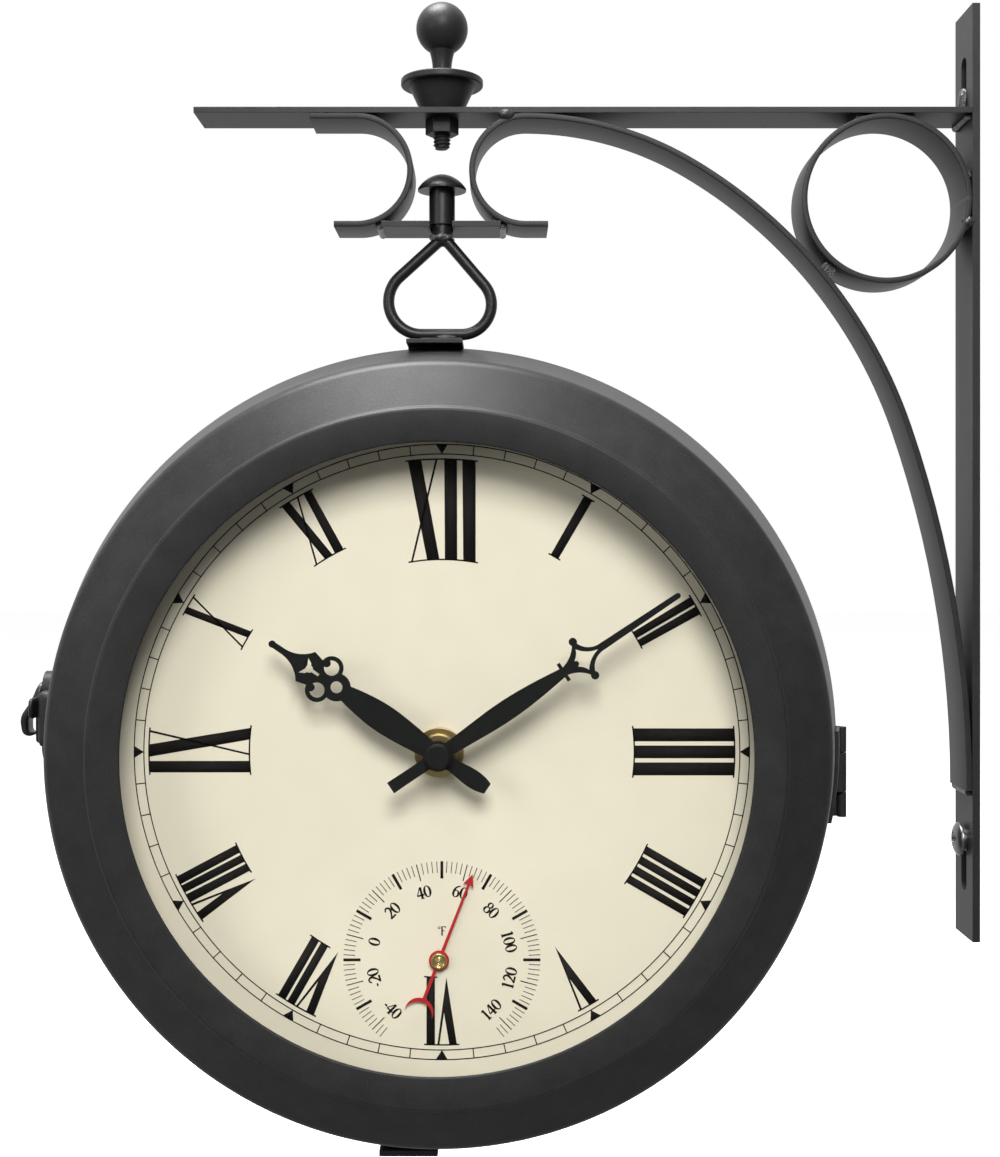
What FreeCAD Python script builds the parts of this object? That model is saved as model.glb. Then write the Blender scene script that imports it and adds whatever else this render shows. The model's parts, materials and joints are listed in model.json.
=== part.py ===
import FreeCAD, Part
import math
import os

# Double sided station clock on a wall bracket, in millimetres.
# x = 0 is the wall, and the clock hangs out towards -x.
# y = 0 is the middle plane: the front dial faces -y and the rear dial faces +y.
# z = 0 is half way up the wall bar.

V = FreeCAD.Vector
UP = V(0, 0, 1)
ALONG_Y = V(0, 1, 0)

# ---- bracket of flat straps ----
STRAP_WIDTH = 20.0
STRAP_THICKNESS = 2.0
BAR_THICKNESS = 2.6
BAR_LENGTH = 321.5
SLOT_FROM_END = 25.25      # middle of each screw slot from the bar's end
SLOT_LENGTH = 19.0
SLOT_WIDTH = 6.0
ARM_HEIGHT = 125.2        # top face of the arm above the middle of the wall bar
ARM_LENGTH = 269.2        # from the wall to the arm's free end
CLOCK_REACH = 184.5       # from the wall to the clock's upright axis
SCROLL_RADIUS = 19.5
SCROLL_OFFSET = 29.1      # centre of each scroll from the clock's axis
SCROLL_FOOT = 7.6
SCROLL_TOP_FOOT = 15.9
BRACE_RADII = (112.8, 170.3)
BRACE_TURNS = (30.5, 40.5)
RING_RADIUS = 29.2
RING_THICKNESS = 2.0
WELD_LENGTH = 16.0
WELD_RADIUS = 1.3
BRIDGE_WELD_RADIUS = 2.5
LEAST_WELD = 1.0          # volume of the smallest weld bead that is kept

# ---- ball finial ----
BALL_RADIUS = 9.0
BALL_HEIGHT = 29.9        # centre of the ball above the arm
BALL_NECK_RADIUS = 3.55
CUP_FOOT_RADIUS = 7.0
CUP_TOP_RADIUS = 11.3
CUP_HEIGHT = 9.6
FLANGE_RADIUS = 14.3
FLANGE_THICKNESS = 2.5
STUD_RADIUS = 2.8
STUD_BELOW_ARM = 10.0
STUD_IN_BALL = 6.0
NUT_ACROSS_FLATS = 10.0
NUT_HEIGHT = 5.0
FIT = 0.05                # radial clearance of a shaft or a screw in its hole

# ---- hanger ----
PIN_HEAD_RADIUS = 8.4
PIN_HEAD_HEIGHT = 5.9
PIN_HEAD_RIM = 0.8
PIN_DOME_SHARE = 0.7      # how far out and up the head's dome passes between rim and crown
PIN_RADIUS = 4.5
PIN_LENGTH = 12.3         # from the lower arm to the underside of the head
NECK_RADIUS = 3.6
NECK_BELOW_ARM = 1.6
NOTCH_CLEARANCE = 0.25
REST_GAP = 0.2            # running gap under the pin's shoulder
ROD_RADIUS = 2.0
LOOP_HEIGHT = 33.9        # from where the loop's sides would meet down to its flat run
LOOP_APEX_X = 0.5
LOOP_APEX_BEND = 3.0
LOOP_LEFT_X = -7.1
LOOP_LEFT_BEND = 11.5
LOOP_RIGHT_X = 6.7
LOOP_RIGHT_BEND = 10.5
APEX_BELOW_ARM = 1.7      # from the lower arm's underside to where the sides would meet
FOOT_SIZE = 13.8
FOOT_THICKNESS = 1.0
PLATE_WIDTH = 19.2
PLATE_DEPTH = 24.0
PLATE_THICKNESS = 1.4
PLATE_SHIFT = -2.2

# ---- case, one spun shell to each side of the seam ----
CASE_HALF_DEPTH = 45.0
RIM_RADIUS = 137.4
RIM_FLARE = 8.2           # how much wider the rim is than the shoulder
SLOPE_WIDTH = 16.6        # from the front ring's outer edge out to the shoulder
FACE_WIDTH = 11.0         # flat front ring, from its lip to its outer edge
STEP_WIDTH = 0.7
STEP_DEPTH = 1.4
SHOULDER_DEPTH = 11.4
CASE_THICKNESS = 1.2
LIP_BEND = 1.5
STEP_BEND = 1.0
SHOULDER_BEND = 6.0
SEAM_GAP = 0.6
BAND_DEPTH = 6.0
BAND_THICKNESS = 1.2
BAND_CLEARANCE = 0.4
PROUD_GAP = 0.3           # between the front shell and what stands out over it from the rear one

# ---- glass and dial ----
GLASS_MARGIN = 3.1        # from the glass's edge out to the front ring's outer edge
GLASS_THICKNESS = 2.0
GLASS_RING_WIDTH = 6.0
GLASS_RING_THICKNESS = 1.5
DIAL_MARGIN = 3.2         # the dial is this much smaller than the shoulder
DIAL_DEPTH = 22.0         # dial's front face from the seam
DIAL_THICKNESS = 0.8
DIAL_TAB_ANGLES = (45, 135, 225, 315)
DIAL_TAB_REACH = 11.0     # how far a tab reaches in under the dial's edge
DIAL_TAB_WIDTH = 14.0
DIAL_TAB_THICKNESS = 1.5
DIAL_TAB_FOOT = 11.0
DIAL_SCREW_RADIUS = 1.5
DIAL_SCREW_INSET = 6.0    # from the dial's edge in to its screws
DIAL_SCREW_LENGTH = 5.0
SCREW_HEAD_RADIUS = 2.8
SCREW_HEAD_HEIGHT = 1.6

# ---- quartz movement ----
MOVEMENT_SIZE = 56.0
MOVEMENT_DEPTH = 16.0
MOVEMENT_CORNER = 4.0
WASHER_THICKNESS = 0.8
SEAT_RADIUS = 12.0        # raised seat round the bush, against the dial's back
BUSH_RADIUS = 4.0
BUSH_LENGTH = 7.5
HOUR_PIPE_RADIUS = 2.5
ARBOR_RADIUS = 1.2
SHAFT_NUT_RADIUS = 8.2
SHAFT_NUT_HEIGHT = 2.4
SHAFT_NUT_COLLAR_RADIUS = 6.0
SHAFT_NUT_COLLAR_HEIGHT = 2.0
BATTERY_RADIUS = 7.25
BATTERY_LENGTH = 49.2
BATTERY_NUB_RADIUS = 2.75
BATTERY_NUB_LENGTH = 1.0
BATTERY_DROP = 18.0
BATTERY_CLEARANCE = 0.6
CONTACT_THICKNESS = 0.4
CONTACT_RADIUS = 3.0
KNOB_RADIUS = 6.0
KNOB_HEIGHT = 2.8
KNOB_GAP = 0.3

# ---- hands ----
HAND_THICKNESS = 0.8
HAND_BOSS_RADIUS = 4.9
HAND_SPACING = 2.9        # between the front faces of the two hands
GLASS_CLEARANCE = 2.0     # between the hands' cap and the glass
HOUR_HAND_LENGTH = 65.2   # to the centre of its round tip
MINUTE_HAND_MARGIN = 7.8  # from the tip's centre out to the case's lip
HOUR_ANGLE = 303.9        # clockwise from twelve
MINUTE_ANGLE = 56.2
CAP_RADIUS = 4.25
CAP_HEIGHT = 3.4
CAP_BEND = 0.8

# ---- bimetal thermometer ----
THERMO_DROP = 69.0        # below the clock's centre
THERMO_CUP_RADIUS = 15.0
THERMO_CUP_DEPTH = 9.0
THERMO_WALL = 1.0
THERMO_ARBOR_RADIUS = 1.0
THERMO_ANGLE = 21.3
THERMO_POINTER_GAP = 1.6
THERMO_POINTER_THICKNESS = 0.5
THERMO_POINTER_LENGTH = 30.7
THERMO_ARROW = (4.0, 1.8) # length and half width of the arrow head
THERMO_TAIL_LENGTH = 13.9 # to the inside of the crescent
CRESCENT_RADIUS = 4.8
CRESCENT_WIDTH = 1.4
THERMO_RING_RADIUS = 3.35
THERMO_HUB_RADIUS = 2.7
THERMO_HUB_HEIGHT = 1.4
COIL_START_RADIUS = 2.6
COIL_STEP = 1.5
COIL_HALF_TURNS = 7
COIL_STRIP = 0.5
COIL_WIDTH = 4.0

# ---- seam hinge, latch and tab ----
HINGE_RADIUS = 1.6
HINGE_PIN_RADIUS = 0.8
HINGE_LENGTH = 31.3
HINGE_MIDDLE = 13.4
HINGE_DROP = 10.2         # middle of the hinge below the clock's centre
HINGE_GAP = 0.3
HINGE_STANDOFF = 0.3
LEAF_WIDTH = 14.0
LEAF_THICKNESS = 1.2
LATCH_RISE = 8.4          # middle of the latch's base above the clock's centre
LATCH_BASE_LENGTH = 32.0
LATCH_BASE_WIDTH = 12.0
LATCH_BASE_PROUD = 2.4
LATCH_SEAM_OFFSET = 1.0
LATCH_PIVOT_RISE = 4.0
LATCH_PIVOT_RADIUS = 1.6
LATCH_RIVET_RADIUS = 3.0
LATCH_RIVET_HEAD = 1.2
LATCH_GAP = 0.3
LEVER_THICKNESS = 1.8
LEVER_WIDTH = 9.0
LEVER_REACH = 7.4         # how far the thumb piece stands out from the base
LEVER_DROP = 10.2         # from the lever's pivot down to its curl
LEVER_RISE = 8.0
LEVER_CURL = 4.4
LEVER_HUB_RADIUS = 5.5
LEVER_HUB_HEIGHT = 2.0
CAM_REACH = 9.0
CAM_HEIGHT = 7.0
LEG_DROP = 13.5
LEG_WIDTH = 7.0
KEEPER_WIDTH = 7.0
KEEPER_HEIGHT = 19.6
KEEPER_PROUD = 1.4        # its flat face beyond the rim
KEEPER_DROP = 3.7         # its middle below the lever's pivot
TAB_WIDTH = 20.0
TAB_DEPTH = 24.0
TAB_THICKNESS = 2.0
TAB_SHIFT = -11.0

# ---- places that follow from the sizes ----
SLOT_SPACING = BAR_LENGTH - 2 * SLOT_FROM_END
CLOCK_X = -CLOCK_REACH
ARM_UNDERSIDE = ARM_HEIGHT - STRAP_THICKNESS
SCROLL_Z = ARM_UNDERSIDE - SCROLL_RADIUS
LOWER_ARM_UNDERSIDE = SCROLL_Z - SCROLL_RADIUS
LOWER_ARM_TOP = LOWER_ARM_UNDERSIDE + STRAP_THICKNESS
LOOP_APEX_Z = LOWER_ARM_UNDERSIDE - APEX_BELOW_ARM
LOOP_RUN_Z = LOOP_APEX_Z - LOOP_HEIGHT
FOOT_TOP = LOOP_RUN_Z - ROD_RADIUS
PLATE_TOP = FOOT_TOP - FOOT_THICKNESS
RIM_TOP = PLATE_TOP - PLATE_THICKNESS - PROUD_GAP
CLOCK_Z = RIM_TOP - RIM_RADIUS
CENTRE = V(CLOCK_X, 0, CLOCK_Z)
SHOULDER_RADIUS = RIM_RADIUS - RIM_FLARE
FACE_RADIUS = SHOULDER_RADIUS - SLOPE_WIDTH
LIP_RADIUS = FACE_RADIUS - FACE_WIDTH
GLASS_RADIUS = FACE_RADIUS - GLASS_MARGIN
DIAL_RADIUS = SHOULDER_RADIUS - DIAL_MARGIN
DIAL_TAB_RADIUS = DIAL_RADIUS - DIAL_TAB_REACH
DIAL_SCREW_RING = DIAL_RADIUS - DIAL_SCREW_INSET
GLASS_BACK = CASE_HALF_DEPTH - CASE_THICKNESS - GLASS_THICKNESS
MINUTE_HAND_DEPTH = GLASS_BACK - GLASS_CLEARANCE - CAP_HEIGHT
HOUR_HAND_DEPTH = MINUTE_HAND_DEPTH - HAND_SPACING
MINUTE_HAND_LENGTH = LIP_RADIUS - MINUTE_HAND_MARGIN
DIAL_FRONT = -DIAL_DEPTH
DIAL_BACK = DIAL_FRONT + DIAL_THICKNESS
MOVEMENT_FRONT = DIAL_BACK + WASHER_THICKNESS
MOVEMENT_BACK = MOVEMENT_FRONT + MOVEMENT_DEPTH
HINGE_X = CLOCK_X + RIM_RADIUS + HINGE_RADIUS + HINGE_STANDOFF
HINGE_Z = CLOCK_Z - HINGE_DROP

os.makedirs("parts", exist_ok=True)


def save(name, *solids):
    """Write one piece, or a group of like pieces, to its own file."""
    shape = solids[0] if len(solids) == 1 else Part.makeCompound(list(solids))
    shape.exportStep("parts/" + name + ".step")


# ---- drawing helpers ----

def walk(point, heading, steps):
    """Follow straight runs and arcs in a plane. Each step is a length and 0, or a radius and the
    degrees turned to the left. A run keeps three marks: a point with its left-hand normal."""
    runs = []
    u, v = point
    for size, turn in steps:
        marks = []
        first = math.radians(heading)
        for share in (0.0, 0.5, 1.0):
            now = math.radians(heading + turn * share)
            normal = (-math.sin(now), math.cos(now))
            if turn:
                side = math.copysign(size, turn)
                mark = (u + side * (math.sin(now) - math.sin(first)),
                        v - side * (math.cos(now) - math.cos(first)))
            else:
                mark = (u + share * size * math.cos(first), v + share * size * math.sin(first))
            marks.append((mark, normal))
        runs.append((turn != 0, marks))
        u, v = marks[2][0]
        heading += turn
    return runs


def rounded(points, bends):
    """Follow straight runs through points, with a bend of the given radius at each inner one."""
    headings = []
    lengths = []
    for a, b in zip(points, points[1:]):
        headings.append(math.degrees(math.atan2(b[1] - a[1], b[0] - a[0])))
        lengths.append(math.hypot(b[0] - a[0], b[1] - a[1]))
    turns = [(b - a + 180.0) % 360.0 - 180.0 for a, b in zip(headings, headings[1:])]
    cuts = [0.0] + [r * math.tan(math.radians(abs(t)) / 2) for r, t in zip(bends, turns)] + [0.0]
    steps = []
    for i, length in enumerate(lengths):
        steps.append((length - cuts[i] - cuts[i + 1], 0.0))
        if i < len(turns):
            steps.append((bends[i], turns[i]))
    return walk(points[0], headings[0], steps)


def edges(runs, offset, place):
    """The path's edges, moved to its left by offset and put in space by place(u, v)."""
    made = []
    for curved, marks in runs:
        points = [place(m[0] + offset * n[0], m[1] + offset * n[1]) for m, n in marks]
        if curved:
            made.append(Part.Arc(*points).toShape())
        else:
            made.append(Part.makeLine(points[0], points[2]))
    return made


def end_point(runs, index, offset, place):
    mark, normal = runs[index][1][2 if index else 0]
    return place(mark[0] + offset * normal[0], mark[1] + offset * normal[1])


def sheet(runs, thickness, place):
    """Face between the path and the same path moved to its left by thickness."""
    near = edges(runs, 0.0, place)
    far = edges(runs, thickness, place)
    start = Part.makeLine(end_point(runs, 0, 0.0, place), end_point(runs, 0, thickness, place))
    end = Part.makeLine(end_point(runs, -1, 0.0, place), end_point(runs, -1, thickness, place))
    return Part.Face(Part.Wire(near + [end] + far[::-1] + [start]))


def in_strap(u, v):
    """The bracket's side view: u is x and v is z, on the straps' front edges."""
    return V(u, -STRAP_WIDTH / 2, v)


def strap(runs, thickness):
    return sheet(runs, thickness, in_strap).extrude(V(0, STRAP_WIDTH, 0))


def in_section(r, y):
    """Half section through the clock's axis: r is the radius and y the depth."""
    return V(CLOCK_X + r, y, CLOCK_Z)


def turned(face):
    return face.revolve(CENTRE, ALONG_Y, 360)


def polygon(points):
    return Part.Face(Part.makePolygon(points + points[:1]))


def block(x, y, z):
    """Box between two limits on each axis."""
    return Part.makeBox(x[1] - x[0], y[1] - y[0], z[1] - z[0], V(x[0], y[0], z[0]))


def disc(radius, y, hole=0.0, drop=0.0):
    """Disc or ring square to y, on the clock's axis or a given drop below it."""
    base = V(CLOCK_X, y[0], CLOCK_Z - drop)
    shape = Part.makeCylinder(radius, y[1] - y[0], base, ALONG_Y)
    if hole:
        shape = shape.cut(Part.makeCylinder(hole, y[1] - y[0], base, ALONG_Y))
    return shape


def post(x, radius, z, hole=0.0):
    """Upright cylinder or tube on the bracket's middle plane."""
    shape = Part.makeCylinder(radius, z[1] - z[0], V(x, 0, z[0]))
    if hole:
        shape = shape.cut(Part.makeCylinder(hole, z[1] - z[0], V(x, 0, z[0])))
    return shape


# ---- bracket ----

def wall_bar():
    bar = block((-BAR_THICKNESS, 0), (-STRAP_WIDTH / 2, STRAP_WIDTH / 2),
                (-BAR_LENGTH / 2, BAR_LENGTH / 2))
    straight = SLOT_LENGTH - SLOT_WIDTH
    for middle in (-SLOT_SPACING / 2, SLOT_SPACING / 2):
        slot = block((-BAR_THICKNESS, 0), (-SLOT_WIDTH / 2, SLOT_WIDTH / 2),
                     (middle - straight / 2, middle + straight / 2))
        for end in (middle - straight / 2, middle + straight / 2):
            base = V(-BAR_THICKNESS, 0, end)
            slot = slot.fuse(Part.makeCylinder(SLOT_WIDTH / 2, BAR_THICKNESS, base, V(1, 0, 0)))
        bar = bar.cut(slot)
    return bar


def top_arm():
    arm = block((-ARM_LENGTH, -BAR_THICKNESS), (-STRAP_WIDTH / 2, STRAP_WIDTH / 2),
                (ARM_UNDERSIDE, ARM_HEIGHT))
    return arm.cut(post(CLOCK_X, STUD_RADIUS + FIT, (ARM_UNDERSIDE, ARM_HEIGHT)))


def brace_steps():
    """Bottom foot, scroll and three arcs, the last of which lands flat on the wall bar."""
    steps = [(SCROLL_FOOT, 0.0), (SCROLL_RADIUS, -180.0)]
    x = CLOCK_X + SCROLL_OFFSET
    fallen = 0.0
    for radius, turn in zip(BRACE_RADII, BRACE_TURNS):
        steps.append((radius, -turn))
        before = math.sin(math.radians(fallen))
        fallen += turn
        x += radius * (math.sin(math.radians(fallen)) - before)
    landing = (-BAR_THICKNESS - x) / (1.0 - math.sin(math.radians(fallen)))
    steps.append((landing, fallen - 90.0))
    return steps


def brace_runs():
    start = (CLOCK_X + SCROLL_OFFSET + SCROLL_FOOT, LOWER_ARM_UNDERSIDE)
    return walk(start, 180.0, brace_steps())


def left_scroll_runs():
    start = (CLOCK_X - SCROLL_OFFSET - SCROLL_TOP_FOOT, ARM_UNDERSIDE)
    return walk(start, 0.0, [(SCROLL_TOP_FOOT, 0.0), (SCROLL_RADIUS, -180.0), (SCROLL_FOOT, 0.0)])


def lower_arm_half():
    """Half length of the lower arm, out to where its top edge meets the scrolls' curve."""
    rise = SCROLL_RADIUS - STRAP_THICKNESS
    return SCROLL_OFFSET - math.sqrt(SCROLL_RADIUS ** 2 - rise ** 2)


def lower_arm():
    """Short bar butted between the two scrolls, with the notch that carries the hanger pin."""
    half = lower_arm_half()
    bar = block((CLOCK_X - half, CLOCK_X + half), (-STRAP_WIDTH / 2, STRAP_WIDTH / 2),
                (LOWER_ARM_UNDERSIDE, LOWER_ARM_TOP))
    notch_radius = NECK_RADIUS + NOTCH_CLEARANCE
    notch = block((CLOCK_X - notch_radius, CLOCK_X + notch_radius), (-STRAP_WIDTH / 2, 0),
                  (LOWER_ARM_UNDERSIDE, LOWER_ARM_TOP))
    notch = notch.fuse(post(CLOCK_X, notch_radius, (LOWER_ARM_UNDERSIDE, LOWER_ARM_TOP)))
    return bar.cut(notch)


def ring_centre():
    return (-BAR_THICKNESS - RING_RADIUS, ARM_UNDERSIDE - RING_RADIUS)


def corner_ring():
    x, z = ring_centre()
    base = V(x, -STRAP_WIDTH / 2, z)
    outer = Part.makeCylinder(RING_RADIUS, STRAP_WIDTH, base, ALONG_Y)
    inner = Part.makeCylinder(RING_RADIUS - RING_THICKNESS, STRAP_WIDTH, base, ALONG_Y)
    return outer.cut(inner)


def weld_beads(straps):
    """Short weld beads in the corners where the straps meet, cut away where the straps are."""
    ring_x, ring_z = ring_centre()
    half = lower_arm_half()
    reach = math.sqrt(2 * RING_RADIUS * WELD_RADIUS)
    spots = [(-BAR_THICKNESS - WELD_RADIUS / 2, ring_z - reach, WELD_RADIUS),
             (-BAR_THICKNESS - WELD_RADIUS / 2, ring_z + reach, WELD_RADIUS),
             (ring_x - reach, ARM_UNDERSIDE - WELD_RADIUS / 2, WELD_RADIUS),
             (ring_x + reach, ARM_UNDERSIDE - WELD_RADIUS / 2, WELD_RADIUS),
             (-BAR_THICKNESS - WELD_RADIUS / 2, ARM_UNDERSIDE - WELD_RADIUS / 2, WELD_RADIUS),
             (CLOCK_X - half - WELD_RADIUS / 2, LOWER_ARM_UNDERSIDE + WELD_RADIUS / 2, WELD_RADIUS),
             (CLOCK_X + half + WELD_RADIUS / 2, LOWER_ARM_UNDERSIDE + WELD_RADIUS / 2, WELD_RADIUS)]
    runs = brace_runs()
    foot = end_point(runs, -1, 0.0, in_strap)
    spots.append((foot.x - WELD_RADIUS / 2, foot.z - WELD_RADIUS / 2, WELD_RADIUS))
    brace_middle = runs[3][1][1][0]
    away = math.hypot(ring_x - brace_middle[0], ring_z - brace_middle[1])
    share = (away - RING_RADIUS) / 2 / away
    spots.append((brace_middle[0] + (ring_x - brace_middle[0]) * share,
                  brace_middle[1] + (ring_z - brace_middle[1]) * share, BRIDGE_WELD_RADIUS))
    beads = []
    for x, z, radius in spots:
        bead = Part.makeCylinder(radius, WELD_LENGTH, V(x, -WELD_LENGTH / 2, z), ALONG_Y)
        beads += [s for s in bead.cut(straps).Solids if s.Volume > LEAST_WELD]
    return beads


# ---- finial ----

def finial():
    z = ARM_HEIGHT
    flange_bottom = z + CUP_HEIGHT
    flange_top = flange_bottom + FLANGE_THICKNESS
    stud_top = flange_top + STUD_IN_BALL
    cup = Part.makeCone(CUP_FOOT_RADIUS, CUP_TOP_RADIUS, CUP_HEIGHT, V(CLOCK_X, 0, z))
    cup = cup.fuse(post(CLOCK_X, FLANGE_RADIUS, (flange_bottom, flange_top)))
    cup = cup.cut(post(CLOCK_X, STUD_RADIUS + FIT, (z, flange_top))).removeSplitter()
    ball = Part.makeSphere(BALL_RADIUS, V(CLOCK_X, 0, z + BALL_HEIGHT))
    ball = ball.fuse(post(CLOCK_X, BALL_NECK_RADIUS, (flange_top, z + BALL_HEIGHT)))
    ball = ball.cut(post(CLOCK_X, STUD_RADIUS + FIT, (flange_top, stud_top + FIT)))
    stud = post(CLOCK_X, STUD_RADIUS, (ARM_UNDERSIDE - STUD_BELOW_ARM, stud_top))
    corner = NUT_ACROSS_FLATS / math.sqrt(3)
    points = [V(CLOCK_X + corner * math.cos(math.radians(a)),
                corner * math.sin(math.radians(a)), ARM_UNDERSIDE - NUT_HEIGHT)
              for a in range(0, 360, 60)]
    nut = polygon(points).extrude(UP * NUT_HEIGHT)
    nut = nut.cut(post(CLOCK_X, STUD_RADIUS + FIT, (ARM_UNDERSIDE - NUT_HEIGHT, ARM_UNDERSIDE)))
    save("finial_cup", cup)
    save("finial_ball", ball)
    save("finial_stud", stud)
    save("finial_nut", nut)


# ---- hanger ----

def tangent_point(apex, centre, radius, side):
    """Where a line from apex touches a circle: side is 1 with the circle on the line's left."""
    away = math.hypot(centre[0] - apex[0], centre[1] - apex[1])
    towards = math.atan2(centre[1] - apex[1], centre[0] - apex[0])
    heading = towards - side * math.asin(radius / away)
    length = math.sqrt(away ** 2 - radius ** 2)
    return (apex[0] + length * math.cos(heading), apex[1] + length * math.sin(heading)), heading


def hanger_loop():
    """Bent rod: two straight sides from a small bend at the top, two round lobes, a flat run."""
    left = (LOOP_LEFT_X, LOOP_RUN_Z + LOOP_LEFT_BEND)
    right = (LOOP_RIGHT_X, LOOP_RUN_Z + LOOP_RIGHT_BEND)
    apex = (LOOP_APEX_X, LOOP_APEX_Z)
    left_end, left_heading = tangent_point(apex, left, LOOP_LEFT_BEND, 1)
    right_end, right_heading = tangent_point(apex, right, LOOP_RIGHT_BEND, -1)
    left_heading = math.degrees(left_heading) % 360.0
    right_heading = math.degrees(right_heading) % 360.0
    apex_turn = (right_heading - left_heading) - 180.0
    left_turn = 360.0 - left_heading
    right_turn = right_heading - 180.0
    cut = LOOP_APEX_BEND * math.tan(math.radians(abs(apex_turn)) / 2)
    left_side = math.hypot(left_end[0] - apex[0], left_end[1] - apex[1]) - cut
    right_side = math.hypot(right_end[0] - apex[0], right_end[1] - apex[1]) - cut
    steps = [(LOOP_RIGHT_X - LOOP_LEFT_X, 0.0), (LOOP_RIGHT_BEND, right_turn),
             (right_side, 0.0), (LOOP_APEX_BEND, abs(apex_turn)), (left_side, 0.0),
             (LOOP_LEFT_BEND, left_turn)]
    runs = walk((LOOP_LEFT_X, LOOP_RUN_Z), 0.0, steps)
    path = Part.Wire(edges(runs, 0.0, lambda u, v: V(CLOCK_X + u, 0, v)))
    start = V(CLOCK_X + LOOP_LEFT_X, 0, LOOP_RUN_Z)
    section = Part.Wire(Part.makeCircle(ROD_RADIUS, start, V(1, 0, 0)))
    rod = Part.Solid(path.makePipeShell([section], False, False))
    print("hanger loop", rod.isValid(), round(rod.Volume, 1),
          round(path.Length * math.pi * ROD_RADIUS ** 2, 1))
    return rod


def hanger_pin(loop):
    """Dome-headed pin whose shoulder stands on the lower arm and whose neck goes through it."""
    shoulder = LOWER_ARM_TOP + REST_GAP
    head = LOWER_ARM_TOP + PIN_LENGTH
    rim = head + PIN_HEAD_RIM
    crown = head + PIN_HEAD_HEIGHT
    dome_z = rim + (crown - rim) * PIN_DOME_SHARE
    outline = [(0, crown), (PIN_HEAD_RADIUS, rim), (PIN_HEAD_RADIUS, head), (PIN_RADIUS, head),
               (PIN_RADIUS, shoulder), (NECK_RADIUS, shoulder),
               (NECK_RADIUS, LOWER_ARM_UNDERSIDE - NECK_BELOW_ARM),
               (0, LOWER_ARM_UNDERSIDE - NECK_BELOW_ARM)]
    points = [V(CLOCK_X + r, 0, z) for r, z in outline]
    dome_middle = V(CLOCK_X + PIN_HEAD_RADIUS * PIN_DOME_SHARE, 0, dome_z - PIN_HEAD_RIM)
    lines = [Part.Arc(points[0], dome_middle, points[1]).toShape()]
    for a, b in zip(points[1:], points[2:] + points[:1]):
        lines.append(Part.makeLine(a, b))
    pin = Part.Face(Part.Wire(lines)).revolve(V(CLOCK_X, 0, 0), UP, 360)
    return pin.cut(loop)


def hanger_plate(outer):
    """Plate over the seam at the top of the case, with a saddle that is welded to the rear shell."""
    x = (CLOCK_X + PLATE_SHIFT - PLATE_WIDTH / 2, CLOCK_X + PLATE_SHIFT + PLATE_WIDTH / 2)
    plate = block(x, (-PLATE_DEPTH / 2, PLATE_DEPTH / 2), (PLATE_TOP - PLATE_THICKNESS, PLATE_TOP))
    saddle = block(x, (SEAM_GAP / 2, PLATE_DEPTH / 2), (RIM_TOP - PLATE_DEPTH / 3, PLATE_TOP))
    return plate.fuse(saddle).cut(outer).removeSplitter()


# ---- case ----

def case_runs():
    """Outside of the front shell in half section, from the lip round to the seam."""
    front = -CASE_HALF_DEPTH
    points = [(LIP_RADIUS, front), (FACE_RADIUS, front),
              (FACE_RADIUS + STEP_WIDTH, front + STEP_DEPTH),
              (SHOULDER_RADIUS, front + SHOULDER_DEPTH), (RIM_RADIUS, -SEAM_GAP / 2)]
    return rounded(points, [LIP_BEND, STEP_BEND, SHOULDER_BEND])


def wall_radius(y, inset):
    """Radius of the flared wall at depth y, moved inwards square to the wall."""
    run = CASE_HALF_DEPTH - SHOULDER_DEPTH - SEAM_GAP / 2
    slope = (RIM_RADIUS - SHOULDER_RADIUS) / run
    straight = RIM_RADIUS - slope * (abs(y) - SEAM_GAP / 2)
    return straight - inset * math.sqrt(1 + slope ** 2)


def case_solid(inset):
    """Everything inside the front shell's outside, moved inwards by inset, up to the seam."""
    runs = case_runs()
    line = edges(runs, inset, in_section)
    first = end_point(runs, 0, inset, in_section)
    last = end_point(runs, -1, inset, in_section)
    seam = in_section(wall_radius(0, inset), 0)
    centre = in_section(0, 0)
    front = V(CLOCK_X, first.y, CLOCK_Z)
    wire = line + [Part.makeLine(last, seam), Part.makeLine(seam, centre),
                   Part.makeLine(centre, front), Part.makeLine(front, first)]
    return turned(Part.Face(Part.Wire(wire)))


def both_sides(front):
    return front.fuse(front.mirror(V(0, 0, 0), ALONG_Y))


def wall_zone(y, inset, thickness):
    """Ring of the given thickness that lies inside the flared wall between two depths."""
    outer_line = [(wall_radius(depth, inset), depth) for depth in y]
    inner_line = [(radius - thickness, depth) for radius, depth in outer_line[::-1]]
    return turned(polygon([in_section(r, depth) for r, depth in outer_line + inner_line]))


def seam_band():
    """Rolled ring welded inside the rear shell, over which the front shell closes."""
    back = BAND_DEPTH + BAND_THICKNESS
    inner = wall_radius(back, CASE_THICKNESS) - BAND_THICKNESS
    lap = wall_radius(BAND_DEPTH, CASE_THICKNESS) - BAND_CLEARANCE
    seam = SEAM_GAP / 2
    points = [(inner, -BAND_DEPTH), (lap, -BAND_DEPTH), (lap, seam),
              (wall_radius(seam, CASE_THICKNESS), seam),
              (wall_radius(back, CASE_THICKNESS), back), (inner, back)]
    return turned(polygon([in_section(r, y) for r, y in points]))


# ---- one side's dial, movement and hands, made for the front ----

def on_dial(u, v, y):
    """Point of a hand that points at twelve: u is the way from its arbor, v is to its left."""
    return V(CLOCK_X - v, y, CLOCK_Z + u)


def slab(points, y, thickness):
    """Flat plate with a straight-sided outline given in hand coordinates."""
    return polygon([on_dial(u, v, y) for u, v in points]).extrude(V(0, thickness, 0))


def round_slab(u, v, radius, y, thickness):
    return Part.makeCylinder(radius, thickness, on_dial(u, v, y), ALONG_Y)


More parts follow.
